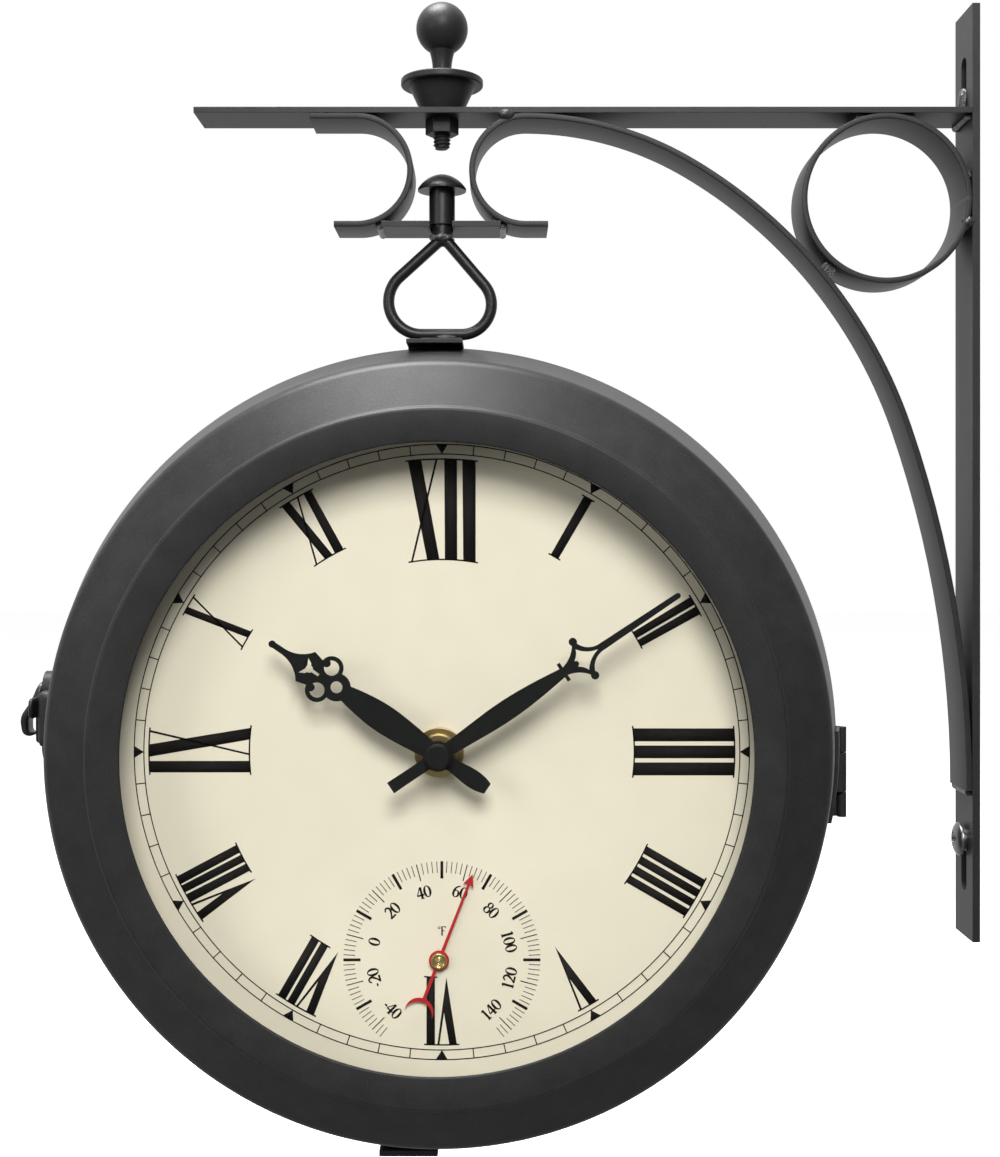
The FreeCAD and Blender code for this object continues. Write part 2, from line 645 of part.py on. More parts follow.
def leaf(stations, y, thickness):
    """Flat leaf: a smooth outline through half widths at stations along the hand."""
    sides = []
    for sign in (1, -1):
        curve = Part.BSplineCurve()
        curve.interpolate([on_dial(u, sign * half, y) for u, half in stations])
        sides.append(curve.toShape())
    ends = []
    for u, half in (stations[0], stations[-1]):
        ends.append(Part.makeLine(on_dial(u, half, y), on_dial(u, -half, y)))
    wire = Part.Wire([sides[0], ends[1], sides[1], ends[0]])
    return Part.Face(wire).extrude(V(0, thickness, 0))


def curved_slab(sides, y, thickness):
    """Flat plate bounded by arcs through three points and by lines, mirrored about the hand."""
    lines = []
    for side in sides:
        points = [on_dial(u, v, y) for u, v in side]
        if len(points) == 3:
            lines.append(Part.Arc(*points).toShape())
        else:
            lines.append(Part.makeLine(*points))
    wire = Part.Wire(Part.__sortEdges__(lines))
    return Part.Face(wire).extrude(V(0, thickness, 0))


def mirrored(sides):
    """The same sides with their copies across the middle of the hand."""
    return sides + [[(u, -v) for u, v in side] for side in sides]


def swing(shape, angle, drop=0.0):
    """Turn a hand clockwise, as seen from the front, about its arbor."""
    made = shape.copy()
    made.rotate(V(CLOCK_X, 0, CLOCK_Z - drop), ALONG_Y, angle)
    return made


def hour_hand():
    """Leaf blade, three pierced lobes and a waisted tip, on a pipe that runs in the bush."""
    y = -HOUR_HAND_DEPTH
    t = HAND_THICKNESS
    tip_end = HOUR_HAND_LENGTH
    stations = [(-19.4, 1.9), (-13.6, 3.0), (-6.0, 2.3), (6.0, 3.3), (14.0, 4.2), (22.0, 4.6),
                (30.0, 3.9), (37.0, 2.6)]
    side_lobe = (44.7, 4.3)
    lower_lobe = (39.9, 0.0)
    hand = leaf(stations, y, t)
    hand = hand.fuse(round_slab(0.0, 0.0, HAND_BOSS_RADIUS, y, t))
    hand = hand.fuse(round_slab(lower_lobe[0], lower_lobe[1], 4.6, y, t))
    tip = mirrored([[(44.0, 3.0), (48.9, 4.9)], [(48.9, 4.9), (52.1, 5.7)],
                    [(52.1, 5.7), (55.6, 2.5), (61.5, 1.0)], [(61.5, 1.0), (tip_end, 0.95)]])
    tip += [[(44.0, 3.0), (44.0, -3.0)], [(tip_end, 0.95), (tip_end, -0.95)]]
    hand = hand.fuse(curved_slab(tip, y, t))
    hand = hand.fuse(round_slab(tip_end, 0.0, 1.15, y, t))
    holes = [round_slab(lower_lobe[0], lower_lobe[1], 1.95, y, t)]
    holes.append(round_slab(50.6, 0.0, 1.25, y, t))
    holes.append(slab([(50.4, 0.6), (46.9, 0.45), (46.9, -0.45), (50.4, -0.6)], y, t))
    for sign in (1, -1):
        hand = hand.fuse(round_slab(side_lobe[0], sign * side_lobe[1], 3.9, y, t))
        crescent = round_slab(side_lobe[0], sign * side_lobe[1], 2.5, y, t)
        bump = round_slab(side_lobe[0] + 2.2, sign * (side_lobe[1] + 0.4), 1.3, y, t)
        holes.append(crescent.cut(bump))
        arm = [(50.2, sign * 0.2), (51.6, sign * 0.2), (52.9, sign * 2.9), (51.0, sign * 1.9)]
        holes.append(slab(arm, y, t))
    for hole in holes:
        hand = hand.cut(hole)
    pipe_end = MOVEMENT_FRONT + BUSH_RADIUS
    hand = hand.fuse(disc(HOUR_PIPE_RADIUS, (y, pipe_end)))
    hand = hand.cut(disc(ARBOR_RADIUS + FIT, (y, pipe_end)))
    return swing(hand.removeSplitter(), HOUR_ANGLE)


def minute_hand():
    """Leaf blade, collar, open four-pointed star and a plain bar, on an arbor to the knob."""
    y = -MINUTE_HAND_DEPTH
    t = HAND_THICKNESS
    stations = [(-18.4, 2.05), (-9.0, 1.95), (0.0, 2.1), (12.6, 2.75), (22.8, 3.35),
                (32.0, 3.25), (41.0, 2.5), (49.8, 1.4)]
    hand = leaf(stations, y, t)
    hand = hand.fuse(round_slab(0.0, 0.0, HAND_BOSS_RADIUS, y, t))
    hand = hand.fuse(slab([(48.6, 3.3), (49.8, 3.3), (49.8, -3.3), (48.6, -3.3)], y, t))
    star = mirrored([[(49.6, 1.4), (53.9, 3.3), (56.4, 6.0)], [(56.4, 6.0), (57.7, 6.0)],
                     [(57.7, 6.0), (60.2, 2.4), (64.5, 1.25)]])
    star += [[(49.6, 1.4), (49.6, -1.4)], [(64.5, 1.25), (64.5, -1.25)]]
    window = mirrored([[(54.2, 1.2), (55.4, 2.2), (56.5, 4.0)],
                       [(56.5, 4.0), (58.9, 1.6), (62.4, 0.1)]])
    window += [[(54.2, 1.2), (54.2, -1.2)], [(62.4, 0.1), (62.4, -0.1)]]
    opening = curved_slab(window, y, t).cut(round_slab(54.1, 0.0, 0.9, y, t))
    hand = hand.fuse(curved_slab(star, y, t)).cut(opening)
    for sign in (1, -1):
        hand = hand.fuse(round_slab(57.1, sign * 6.5, 1.35, y, t))
    tip = MINUTE_HAND_LENGTH
    hand = hand.fuse(slab([(64.0, 1.25), (tip, 0.9), (tip, -0.9), (64.0, -1.25)], y, t))
    hand = hand.fuse(round_slab(tip, 0.0, 0.9, y, t))
    hand = hand.fuse(disc(ARBOR_RADIUS, (y, MOVEMENT_BACK + KNOB_GAP)))
    return swing(hand.removeSplitter(), MINUTE_ANGLE)


def hand_cap():
    front = -MINUTE_HAND_DEPTH - CAP_HEIGHT
    points = [(CAP_RADIUS, -MINUTE_HAND_DEPTH), (CAP_RADIUS, front), (0.0, front)]
    runs = rounded(points, [CAP_BEND])
    line = edges(runs, 0.0, in_section)
    back = [in_section(0.0, front), in_section(0.0, -MINUTE_HAND_DEPTH),
            in_section(CAP_RADIUS, -MINUTE_HAND_DEPTH)]
    line += [Part.makeLine(a, b) for a, b in zip(back, back[1:])]
    return turned(Part.Face(Part.Wire(line)))


def battery_place():
    y = MOVEMENT_BACK - BATTERY_RADIUS - BATTERY_CLEARANCE
    return V(CLOCK_X - BATTERY_LENGTH / 2, y, CLOCK_Z - BATTERY_DROP)


def bay_limits():
    """The battery bay, open at the movement's back."""
    place = battery_place()
    half = BATTERY_LENGTH / 2 + BATTERY_NUB_LENGTH + CONTACT_THICKNESS
    side = BATTERY_RADIUS + BATTERY_CLEARANCE
    return ((CLOCK_X - half, CLOCK_X + half), (place.y - side, MOVEMENT_BACK),
            (place.z - side, place.z + side))


def movement():
    """Sealed quartz movement with its battery bay and its threaded bush."""
    half = MOVEMENT_SIZE / 2
    box = block((CLOCK_X - half, CLOCK_X + half), (MOVEMENT_FRONT, MOVEMENT_BACK),
                (CLOCK_Z - half, CLOCK_Z + half))
    corners = [e for e in box.Edges if abs(e.tangentAt(e.FirstParameter).y) > 0.9]
    box = box.makeFillet(MOVEMENT_CORNER, corners)
    box = box.fuse(disc(SEAT_RADIUS, (DIAL_BACK, MOVEMENT_FRONT)))
    box = box.fuse(disc(BUSH_RADIUS, (MOVEMENT_FRONT - BUSH_LENGTH, MOVEMENT_FRONT)))
    pipe_end = MOVEMENT_FRONT + BUSH_RADIUS
    box = box.cut(disc(HOUR_PIPE_RADIUS + FIT, (MOVEMENT_FRONT - BUSH_LENGTH, pipe_end + REST_GAP)))
    box = box.cut(disc(ARBOR_RADIUS + FIT, (MOVEMENT_FRONT, MOVEMENT_BACK)))
    return box.cut(block(*bay_limits()))


def battery():
    place = battery_place()
    cell = Part.makeCylinder(BATTERY_RADIUS, BATTERY_LENGTH, place, V(1, 0, 0))
    nub = Part.makeCylinder(BATTERY_NUB_RADIUS, BATTERY_NUB_LENGTH,
                            place + V(BATTERY_LENGTH, 0, 0), V(1, 0, 0))
    return cell.fuse(nub)


def battery_contacts():
    """Plate at the cell's nub, and a plate with a sprung button at its flat end."""
    x, y, z = bay_limits()
    place = battery_place()
    plus = block((x[1] - CONTACT_THICKNESS, x[1]), y, z)
    minus = block((x[0], x[0] + CONTACT_THICKNESS), y, z)
    start = V(x[0] + CONTACT_THICKNESS, place.y, place.z)
    button = Part.makeCylinder(CONTACT_RADIUS, place.x - start.x, start, V(1, 0, 0))
    return plus, minus.fuse(button)


def shaft_nut():
    """Brass washer and nut that clamp the dial to the movement."""
    collar = DIAL_FRONT - SHAFT_NUT_HEIGHT
    nut = disc(SHAFT_NUT_RADIUS, (collar, DIAL_FRONT))
    nut = nut.fuse(disc(SHAFT_NUT_COLLAR_RADIUS, (collar - SHAFT_NUT_COLLAR_HEIGHT, collar)))
    return nut.cut(disc(BUSH_RADIUS + FIT, (collar - SHAFT_NUT_COLLAR_HEIGHT, DIAL_FRONT)))


def dial_fixings():
    """Four tabs on the shell's inside, each with a screw through the dial."""
    tabs = []
    screws = []
    holes = []
    tab_back = DIAL_BACK + DIAL_TAB_THICKNESS
    foot_back = DIAL_BACK + DIAL_TAB_FOOT
    flat_zone = wall_zone((DIAL_BACK, tab_back), CASE_THICKNESS, RIM_RADIUS - DIAL_TAB_RADIUS)
    foot_zone = wall_zone((DIAL_BACK, foot_back), CASE_THICKNESS, DIAL_TAB_THICKNESS)
    for angle in DIAL_TAB_ANGLES:
        half = DIAL_TAB_WIDTH / 2
        flat = block((CLOCK_X - half, CLOCK_X + half), (DIAL_BACK, tab_back),
                     (CLOCK_Z + DIAL_TAB_RADIUS, CLOCK_Z + RIM_RADIUS))
        foot = block((CLOCK_X - half, CLOCK_X + half), (DIAL_BACK, foot_back),
                     (CLOCK_Z + DIAL_TAB_RADIUS, CLOCK_Z + RIM_RADIUS))
        tab = swing(flat, angle).common(flat_zone)
        tab = tab.fuse(swing(foot, angle).common(foot_zone)).removeSplitter()
        hole = disc(DIAL_SCREW_RADIUS + FIT, (DIAL_FRONT, tab_back), 0.0, -DIAL_SCREW_RING)
        holes.append(swing(hole, angle))
        tabs.append(tab.cut(holes[-1]))
        screw = disc(DIAL_SCREW_RADIUS, (DIAL_FRONT, DIAL_FRONT + DIAL_SCREW_LENGTH), 0.0,
                     -DIAL_SCREW_RING)
        head = disc(SCREW_HEAD_RADIUS, (DIAL_FRONT - SCREW_HEAD_HEIGHT, DIAL_FRONT), 0.0,
                    -DIAL_SCREW_RING)
        screws.append(swing(screw.fuse(head), angle))
    return tabs, screws, holes


def dial(holes):
    disk = disc(DIAL_RADIUS, (DIAL_FRONT, DIAL_BACK), BUSH_RADIUS + FIT)
    thermo_hole = disc(THERMO_ARBOR_RADIUS + FIT, (DIAL_FRONT, DIAL_BACK), 0.0, THERMO_DROP)
    disk = disk.cut(thermo_hole)
    for hole in holes:
        disk = disk.cut(hole)
    return disk


def thermo_cup():
    back = DIAL_BACK + THERMO_CUP_DEPTH
    cup = disc(THERMO_CUP_RADIUS, (DIAL_BACK, back), 0.0, THERMO_DROP)
    hollow = disc(THERMO_CUP_RADIUS - THERMO_WALL, (DIAL_BACK + THERMO_WALL, back), 0.0, THERMO_DROP)
    bore = disc(THERMO_ARBOR_RADIUS + FIT, (DIAL_BACK, back), 0.0, THERMO_DROP)
    return cup.cut(hollow).cut(bore)


def thermo_coil():
    """Flat spiral of bimetal strip in half turns, with its outer end against the cup's wall."""
    steps = [(COIL_START_RADIUS + i * COIL_STEP, 180.0) for i in range(COIL_HALF_TURNS)]
    runs = walk((COIL_START_RADIUS, 0.0), 90.0, steps)
    front = DIAL_BACK + THERMO_WALL + REST_GAP
    place_z = CLOCK_Z - THERMO_DROP
    face = sheet(runs, COIL_STRIP, lambda u, v: V(CLOCK_X + u, front, place_z + v))
    strip = face.extrude(V(0, COIL_WIDTH, 0))
    end = end_point(runs, -1, COIL_STRIP / 2, lambda u, v: V(u, 0, v))
    wall = THERMO_CUP_RADIUS - THERMO_WALL
    reach = math.copysign(math.sqrt(wall ** 2 - COIL_STRIP ** 2), end.x)
    x = sorted((CLOCK_X + end.x, CLOCK_X + reach))
    z = place_z + end.z
    tail = block(x, (front, front + COIL_WIDTH), (z - COIL_STRIP, z))
    return strip.fuse(tail).removeSplitter()


def thermo_pointer():
    """Red needle with an arrow tip and a crescent on its tail, on the coil's arbor."""
    y = DIAL_FRONT - THERMO_POINTER_GAP
    t = THERMO_POINTER_THICKNESS
    tip = THERMO_POINTER_LENGTH
    neck = tip - THERMO_ARROW[0]
    barb = THERMO_ARROW[1]
    tail = -THERMO_TAIL_LENGTH
    needle = slab([(tail, 0.55), (0.0, 0.55), (neck + 0.5, 0.4), (neck, barb), (tip, 0.0),
                   (neck, -barb), (neck + 0.5, -0.4), (0.0, -0.55), (tail, -0.55)], y, t)
    outer = round_slab(tail + 0.4 - CRESCENT_RADIUS, 0.0, CRESCENT_RADIUS, y, t)
    inner = round_slab(tail + 0.4 - CRESCENT_RADIUS - CRESCENT_WIDTH, 0.0, CRESCENT_RADIUS, y, t)
    needle = needle.fuse(round_slab(0.0, 0.0, THERMO_RING_RADIUS, y, t)).fuse(outer.cut(inner))
    needle.translate(V(0, 0, -THERMO_DROP))
    arbor_end = DIAL_BACK + THERMO_WALL + REST_GAP + COIL_WIDTH
    needle = needle.fuse(disc(THERMO_ARBOR_RADIUS, (y, arbor_end), 0.0, THERMO_DROP))
    return swing(needle.removeSplitter(), THERMO_ANGLE, THERMO_DROP)


def side_pieces():
    """Every piece of the front side, by name, where it lies in the front half."""
    glass_front = -CASE_HALF_DEPTH + CASE_THICKNESS
    glass_back = -GLASS_BACK
    tabs, screws, holes = dial_fixings()
    knob = (MOVEMENT_BACK + KNOB_GAP, MOVEMENT_BACK + KNOB_GAP + KNOB_HEIGHT)
    hub_back = DIAL_FRONT - THERMO_POINTER_GAP
    return {
        "case": [turned(sheet(case_runs(), CASE_THICKNESS, in_section))],
        "glass": [disc(GLASS_RADIUS, (glass_front, glass_back))],
        "glass_ring": [disc(GLASS_RADIUS, (glass_back, glass_back + GLASS_RING_THICKNESS),
                            GLASS_RADIUS - GLASS_RING_WIDTH)],
        "dial": [dial(holes)],
        "dial_tabs": tabs,
        "dial_screws": screws,
        "movement": [movement()],
        "battery": [battery()],
        "battery_contacts": list(battery_contacts()),
        "setting_knob": [disc(KNOB_RADIUS, knob)],
        "shaft_nut": [shaft_nut()],
        "hour_hand": [hour_hand()],
        "minute_hand": [minute_hand()],
        "hand_cap": [hand_cap()],
        "thermo_cup": [thermo_cup()],
        "thermo_coil": [thermo_coil()],
        "thermo_pointer": [thermo_pointer()],
        "thermo_hub": [disc(THERMO_HUB_RADIUS, (hub_back - THERMO_HUB_HEIGHT, hub_back), 0.0,
                            THERMO_DROP)],
    }


# ---- seam hinge ----

def hinge_barrel(radius, z):
    return Part.makeCylinder(radius, z[1] - z[0], V(HINGE_X, 0, z[0]))


def hinge_leaf(outer, layer, side, spans):
    """Leaf on one shell's wall: side is -1 for the front and 1 for the rear, spans its knuckles."""
    ends = (HINGE_Z - HINGE_LENGTH / 2, HINGE_Z + HINGE_LENGTH / 2)
    near = LATCH_SEAM_OFFSET
    y = sorted((side * near, side * LEAF_WIDTH))
    leaf_space = block((CLOCK_X + RIM_RADIUS / 2, HINGE_X), y, ends)
    made = layer.common(leaf_space)
    made = made.cut(hinge_barrel(HINGE_RADIUS + HINGE_GAP, ends))
    bridge_y = sorted((side * near, side * (HINGE_RADIUS + HINGE_GAP + LEAF_THICKNESS)))
    bridge_x = (HINGE_X - HINGE_RADIUS - HINGE_STANDOFF - 2 * LEAF_THICKNESS - HINGE_GAP, HINGE_X)
    for span in spans:
        bridge = block(bridge_x, bridge_y, span).common(hinge_barrel(3 * HINGE_RADIUS, span))
        made = made.fuse(bridge.cut(outer)).fuse(hinge_barrel(HINGE_RADIUS, span))
    return made.cut(hinge_barrel(HINGE_PIN_RADIUS + FIT, ends)).removeSplitter()


# ---- latch ----

def stadium(x, y_middle, z_middle, length, width):
    """Plate square to x with round ends above and below."""
    straight = (length - width) / 2
    shape = block(x, (y_middle - width / 2, y_middle + width / 2),
                  (z_middle - straight, z_middle + straight))
    for z in (z_middle - straight, z_middle + straight):
        shape = shape.fuse(Part.makeCylinder(width / 2, x[1] - x[0], V(x[0], y_middle, z),
                                             V(1, 0, 0)))
    return shape.removeSplitter()


def latch(outer):
    """Base on the rear shell, keeper on the front one, and a thumb lever that turns on a rivet."""
    rim = CLOCK_X - RIM_RADIUS
    face = rim - LATCH_BASE_PROUD
    root = rim + LATCH_BASE_WIDTH / 2
    y_middle = LATCH_SEAM_OFFSET + LATCH_BASE_WIDTH / 2
    z_middle = CLOCK_Z + LATCH_RISE
    pivot_z = z_middle + LATCH_PIVOT_RISE
    base = stadium((face, root), y_middle, z_middle, LATCH_BASE_LENGTH, LATCH_BASE_WIDTH)
    base = base.cut(outer)
    keeper_y = (-LATCH_SEAM_OFFSET - KEEPER_WIDTH, -LATCH_SEAM_OFFSET)
    keeper_z = pivot_z - KEEPER_DROP
    keeper = block((rim - KEEPER_PROUD, root), keeper_y,
                   (keeper_z - KEEPER_HEIGHT / 2, keeper_z + KEEPER_HEIGHT / 2))
    keeper = keeper.cut(outer)
    back = face - LATCH_GAP
    y = (y_middle - LEVER_WIDTH / 2, y_middle + LEVER_WIDTH / 2)
    outline = [(back - LEVER_HUB_HEIGHT / 2, pivot_z + LEVER_RISE),
               (face - LEVER_REACH, pivot_z - LEVER_RISE / 2),
               (face - LEVER_REACH, pivot_z - LEVER_DROP + LEVER_CURL / 2),
               (face - LEVER_REACH / 2, pivot_z - LEVER_DROP + LEVER_CURL / 4)]
    runs = rounded(outline, [LEVER_CURL * 1.5, LEVER_CURL * 0.6])
    thumb = sheet(runs, LEVER_THICKNESS, lambda u, v: V(u, y[0], v)).extrude(V(0, LEVER_WIDTH, 0))
    hub = Part.makeCylinder(LEVER_HUB_RADIUS, LEVER_HUB_HEIGHT,
                            V(back - LEVER_HUB_HEIGHT, y_middle, pivot_z), V(1, 0, 0))
    crest = block((back - LEVER_HUB_HEIGHT, back), (y_middle - LEVER_WIDTH / 2,
                  y_middle + LEVER_WIDTH / 2), (pivot_z, pivot_z + LEVER_RISE))
    leg = block((back - LEVER_THICKNESS, back), (y_middle - LEG_WIDTH / 2, y_middle + LEG_WIDTH / 2),
                (pivot_z - LEG_DROP, pivot_z))
    cam = block((back - LEVER_THICKNESS, back), (-CAM_REACH, y_middle),
                (pivot_z - CAM_HEIGHT / 2, pivot_z + CAM_HEIGHT / 2))
    lever = thumb.fuse(hub).fuse(crest).fuse(leg).fuse(cam)
    lever = lever.cut(block((back, root), y, (pivot_z - LEVER_DROP, pivot_z + 2 * LEVER_RISE)))
    rivet_end = back - LEVER_HUB_HEIGHT
    shaft = Part.makeCylinder(LATCH_PIVOT_RADIUS + FIT, 2 * LEVER_REACH,
                              V(face - 2 * LEVER_REACH, y_middle, pivot_z), V(1, 0, 0))
    head_room = Part.makeCylinder(LATCH_RIVET_RADIUS + LATCH_GAP, 2 * LEVER_REACH,
                                  V(rivet_end - 2 * LEVER_REACH, y_middle, pivot_z), V(1, 0, 0))
    lever = lever.cut(shaft).cut(head_room).removeSplitter()
    rivet = Part.makeCylinder(LATCH_PIVOT_RADIUS, face - rivet_end + REST_GAP,
                              V(rivet_end - REST_GAP, y_middle, pivot_z), V(1, 0, 0))
    head = Part.makeCylinder(LATCH_RIVET_RADIUS, LATCH_RIVET_HEAD,
                             V(rivet_end - REST_GAP - LATCH_RIVET_HEAD, y_middle, pivot_z),
                             V(1, 0, 0))
    save("latch_base", base)
    save("latch_keeper", keeper)
    save("latch_lever", lever)
    save("latch_pivot", rivet.fuse(head))


def seam_tab(outer):
    """Flat tab under the seam, welded to the rear shell and clear of the front one."""
    x = (CLOCK_X + TAB_SHIFT - TAB_WIDTH / 2, CLOCK_X + TAB_SHIFT + TAB_WIDTH / 2)
    top = CLOCK_Z - RIM_RADIUS - PROUD_GAP
    tab = block(x, (-TAB_DEPTH / 2, TAB_DEPTH / 2), (top - TAB_THICKNESS, top))
    saddle = block(x, (SEAM_GAP / 2, TAB_DEPTH / 2), (top - TAB_THICKNESS, top + TAB_DEPTH / 3))
    return tab.fuse(saddle).cut(outer).removeSplitter()


# ---- everything, written out ----

bar = wall_bar()
arm = top_arm()
brace = strap(brace_runs(), -STRAP_THICKNESS)
scroll = strap(left_scroll_runs(), -STRAP_THICKNESS)
short_arm = lower_arm()
ring = corner_ring()
straps = Part.makeCompound([bar, arm, brace, scroll, short_arm, ring])
save("wall_bar", bar)
save("top_arm", arm)
save("brace", brace)
save("left_scroll", scroll)
save("lower_arm", short_arm)
save("corner_ring", ring)
save("bracket_welds", *weld_beads(straps))
finial()

outer = both_sides(case_solid(0.0))
leaf_layer = both_sides(case_solid(-LEAF_THICKNESS)).cut(outer)

loop = hanger_loop()
foot_x = (CLOCK_X - FOOT_SIZE / 2, CLOCK_X + FOOT_SIZE / 2)
save("hanger_loop", loop)
save("hanger_pin", hanger_pin(loop))
save("loop_foot", block(foot_x, (-FOOT_SIZE / 2, FOOT_SIZE / 2), (PLATE_TOP, FOOT_TOP)))
save("hanger_plate", hanger_plate(outer))

for name, solids in side_pieces().items():
    save("front_" + name, *solids)
    behind = []
    for solid in solids:
        copy = solid.copy()
        copy.rotate(V(CLOCK_X, 0, 0), UP, 180)
        behind.append(copy)
    save("rear_" + name, *behind)

save("seam_band", seam_band())
low = HINGE_Z - HINGE_LENGTH / 2
high = HINGE_Z + HINGE_LENGTH / 2
middle = (HINGE_Z - HINGE_MIDDLE / 2, HINGE_Z + HINGE_MIDDLE / 2)
save("hinge_leaf_front", hinge_leaf(outer, leaf_layer, -1, [middle]))
save("hinge_leaf_rear", hinge_leaf(outer, leaf_layer, 1, [(low, middle[0] - HINGE_GAP),
                                                          (middle[1] + HINGE_GAP, high)]))
save("hinge_pin", hinge_barrel(HINGE_PIN_RADIUS, (low, high)))
latch(outer)
save("seam_tab", seam_tab(outer))
print("clock centre", round(CLOCK_X, 2), round(CLOCK_Z, 2), "hinge", round(HINGE_X, 2))
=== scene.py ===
import json
import math
import bmesh
import bpy
import numpy as np
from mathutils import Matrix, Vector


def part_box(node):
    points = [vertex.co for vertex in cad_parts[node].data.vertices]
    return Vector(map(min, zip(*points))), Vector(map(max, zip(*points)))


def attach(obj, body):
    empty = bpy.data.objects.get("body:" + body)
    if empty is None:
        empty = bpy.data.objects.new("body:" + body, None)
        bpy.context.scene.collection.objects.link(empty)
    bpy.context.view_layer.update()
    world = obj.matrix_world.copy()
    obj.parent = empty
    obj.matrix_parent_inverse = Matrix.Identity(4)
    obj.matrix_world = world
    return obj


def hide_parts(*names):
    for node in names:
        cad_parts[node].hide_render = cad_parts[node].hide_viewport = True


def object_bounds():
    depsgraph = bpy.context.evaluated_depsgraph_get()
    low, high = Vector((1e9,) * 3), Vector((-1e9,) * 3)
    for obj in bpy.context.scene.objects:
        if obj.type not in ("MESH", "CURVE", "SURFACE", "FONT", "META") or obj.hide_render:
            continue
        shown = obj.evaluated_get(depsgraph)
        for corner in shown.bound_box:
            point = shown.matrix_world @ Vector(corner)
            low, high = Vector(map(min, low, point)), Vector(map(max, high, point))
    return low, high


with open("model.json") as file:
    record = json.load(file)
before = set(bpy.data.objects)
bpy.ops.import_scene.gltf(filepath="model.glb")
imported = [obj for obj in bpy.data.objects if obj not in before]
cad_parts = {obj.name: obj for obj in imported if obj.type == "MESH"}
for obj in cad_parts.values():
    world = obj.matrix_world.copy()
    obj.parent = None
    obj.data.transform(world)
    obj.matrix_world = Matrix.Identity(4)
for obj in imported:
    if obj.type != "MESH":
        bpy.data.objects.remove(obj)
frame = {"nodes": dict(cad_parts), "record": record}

cad_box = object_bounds()

# ---- wall bar ----
# A flat steel bar with a screw slot near each end, stood against the wall. It is cut, punched and
# powder coated charcoal with the rest of the bracket, so its corners are soft and its faces grained.

MM = 0.001
STRAP_EDGE = 0.35 * MM
MOTTLE_SHARE = 0.4


def sockets(tree, inputs, outputs):
    """Gives a node group its named inputs, with their values, and its outputs."""
    for name, value in inputs.items():
        made = tree.interface.new_socket(name, in_out="INPUT", socket_type="NodeSocketFloat")
        made.default_value = value
    for name in outputs:
        tree.interface.new_socket(name, in_out="OUTPUT", socket_type="NodeSocketFloat")
    return tree.nodes.new("NodeGroupInput"), tree.nodes.new("NodeGroupOutput")


def maths(tree, operation, *given, clamp=False):
    """Output of a Math node, each of whose inputs is a number or another node's output."""
    node = tree.nodes.new("ShaderNodeMath")
    node.operation = operation
    node.use_clamp = clamp
    for socket, value in zip(node.inputs, given):
        if isinstance(value, (int, float)):
            socket.default_value = value
        else:
            tree.links.new(value, socket)
    return node.outputs["Value"]


def spread(tree, value, low, high):
    """Output that runs from low to high while a value runs from 0 to 1."""
    node = tree.nodes.new("ShaderNodeMapRange")
    node.inputs["To Min"].default_value = low
    node.inputs["To Max"].default_value = high
    tree.links.new(value, node.inputs["Value"])
    return node.outputs["Result"]


def powder_grain_group():
    """Coat texture: two noises of sizes S and 0.35 S added 2:1 are the height, a noise of 14 S is
    the slow mottle of the colour, and the height from 0.54 up to 0.68 gives the pale flecks."""
    tree = bpy.data.node_groups.new("powder_grain", "ShaderNodeTree")
    given, result = sockets(tree, {"Size": 0.0006}, ("Height", "Mottle", "Fleck"))
    place = tree.nodes.new("ShaderNodeTexCoord")
    heights = []
    for share in (1.0, 0.35, 14.0):
        scale = maths(tree, "DIVIDE", 1.0 / share, given.outputs["Size"])
        noise = tree.nodes.new("ShaderNodeTexNoise")
        noise.inputs["Detail"].default_value = 3.0
        tree.links.new(place.outputs["Object"], noise.inputs["Vector"])
        tree.links.new(scale, noise.inputs["Scale"])
        heights.append(noise.outputs["Fac"])
    mix = tree.nodes.new("ShaderNodeMix")
    mix.inputs["Factor"].default_value = 1.0 / 3.0
    tree.links.new(heights[0], mix.inputs["A"])
    tree.links.new(heights[1], mix.inputs["B"])
    peak = tree.nodes.new("ShaderNodeMapRange")
    peak.inputs["From Min"].default_value = 0.54
    peak.inputs["From Max"].default_value = 0.68
    tree.links.new(mix.outputs["Result"], peak.inputs["Value"])
    tree.links.new(mix.outputs["Result"], result.inputs["Height"])
    tree.links.new(heights[2], result.inputs["Mottle"])
    tree.links.new(peak.outputs["Result"], result.inputs["Fleck"])
    return tree


def soft_edge_group():
    """Edge mask: one minus the cosine between the face's normal and the normal rounded over a
    radius R, times four, so it is one on a sharp corner and nothing on a flat face."""
    tree = bpy.data.node_groups.new("soft_edge", "ShaderNodeTree")
    given, result = sockets(tree, {"Radius": 0.0004}, ("Edge",))
    bevel = tree.nodes.new("ShaderNodeBevel")
    bevel.samples = 4
    face = tree.nodes.new("ShaderNodeNewGeometry")
    dot = tree.nodes.new("ShaderNodeVectorMath")
    dot.operation = "DOT_PRODUCT"
    tree.links.new(given.outputs["Radius"], bevel.inputs["Radius"])
    tree.links.new(bevel.outputs["Normal"], dot.inputs[0])
    tree.links.new(face.outputs["Normal"], dot.inputs[1])
    away = maths(tree, "SUBTRACT", 1.0, dot.outputs["Value"])
    grown = maths(tree, "MULTIPLY", away, 4.0, clamp=True)
    tree.links.new(grown, result.inputs["Edge"])
    return tree


POWDER_GRAIN = powder_grain_group()
SOFT_EDGE = soft_edge_group()


def place_group(nodes, tree, **values):
    made = nodes.new("ShaderNodeGroup")
    made.node_tree = tree
    for name, value in values.items():
        made.inputs[name].default_value = value
    return made


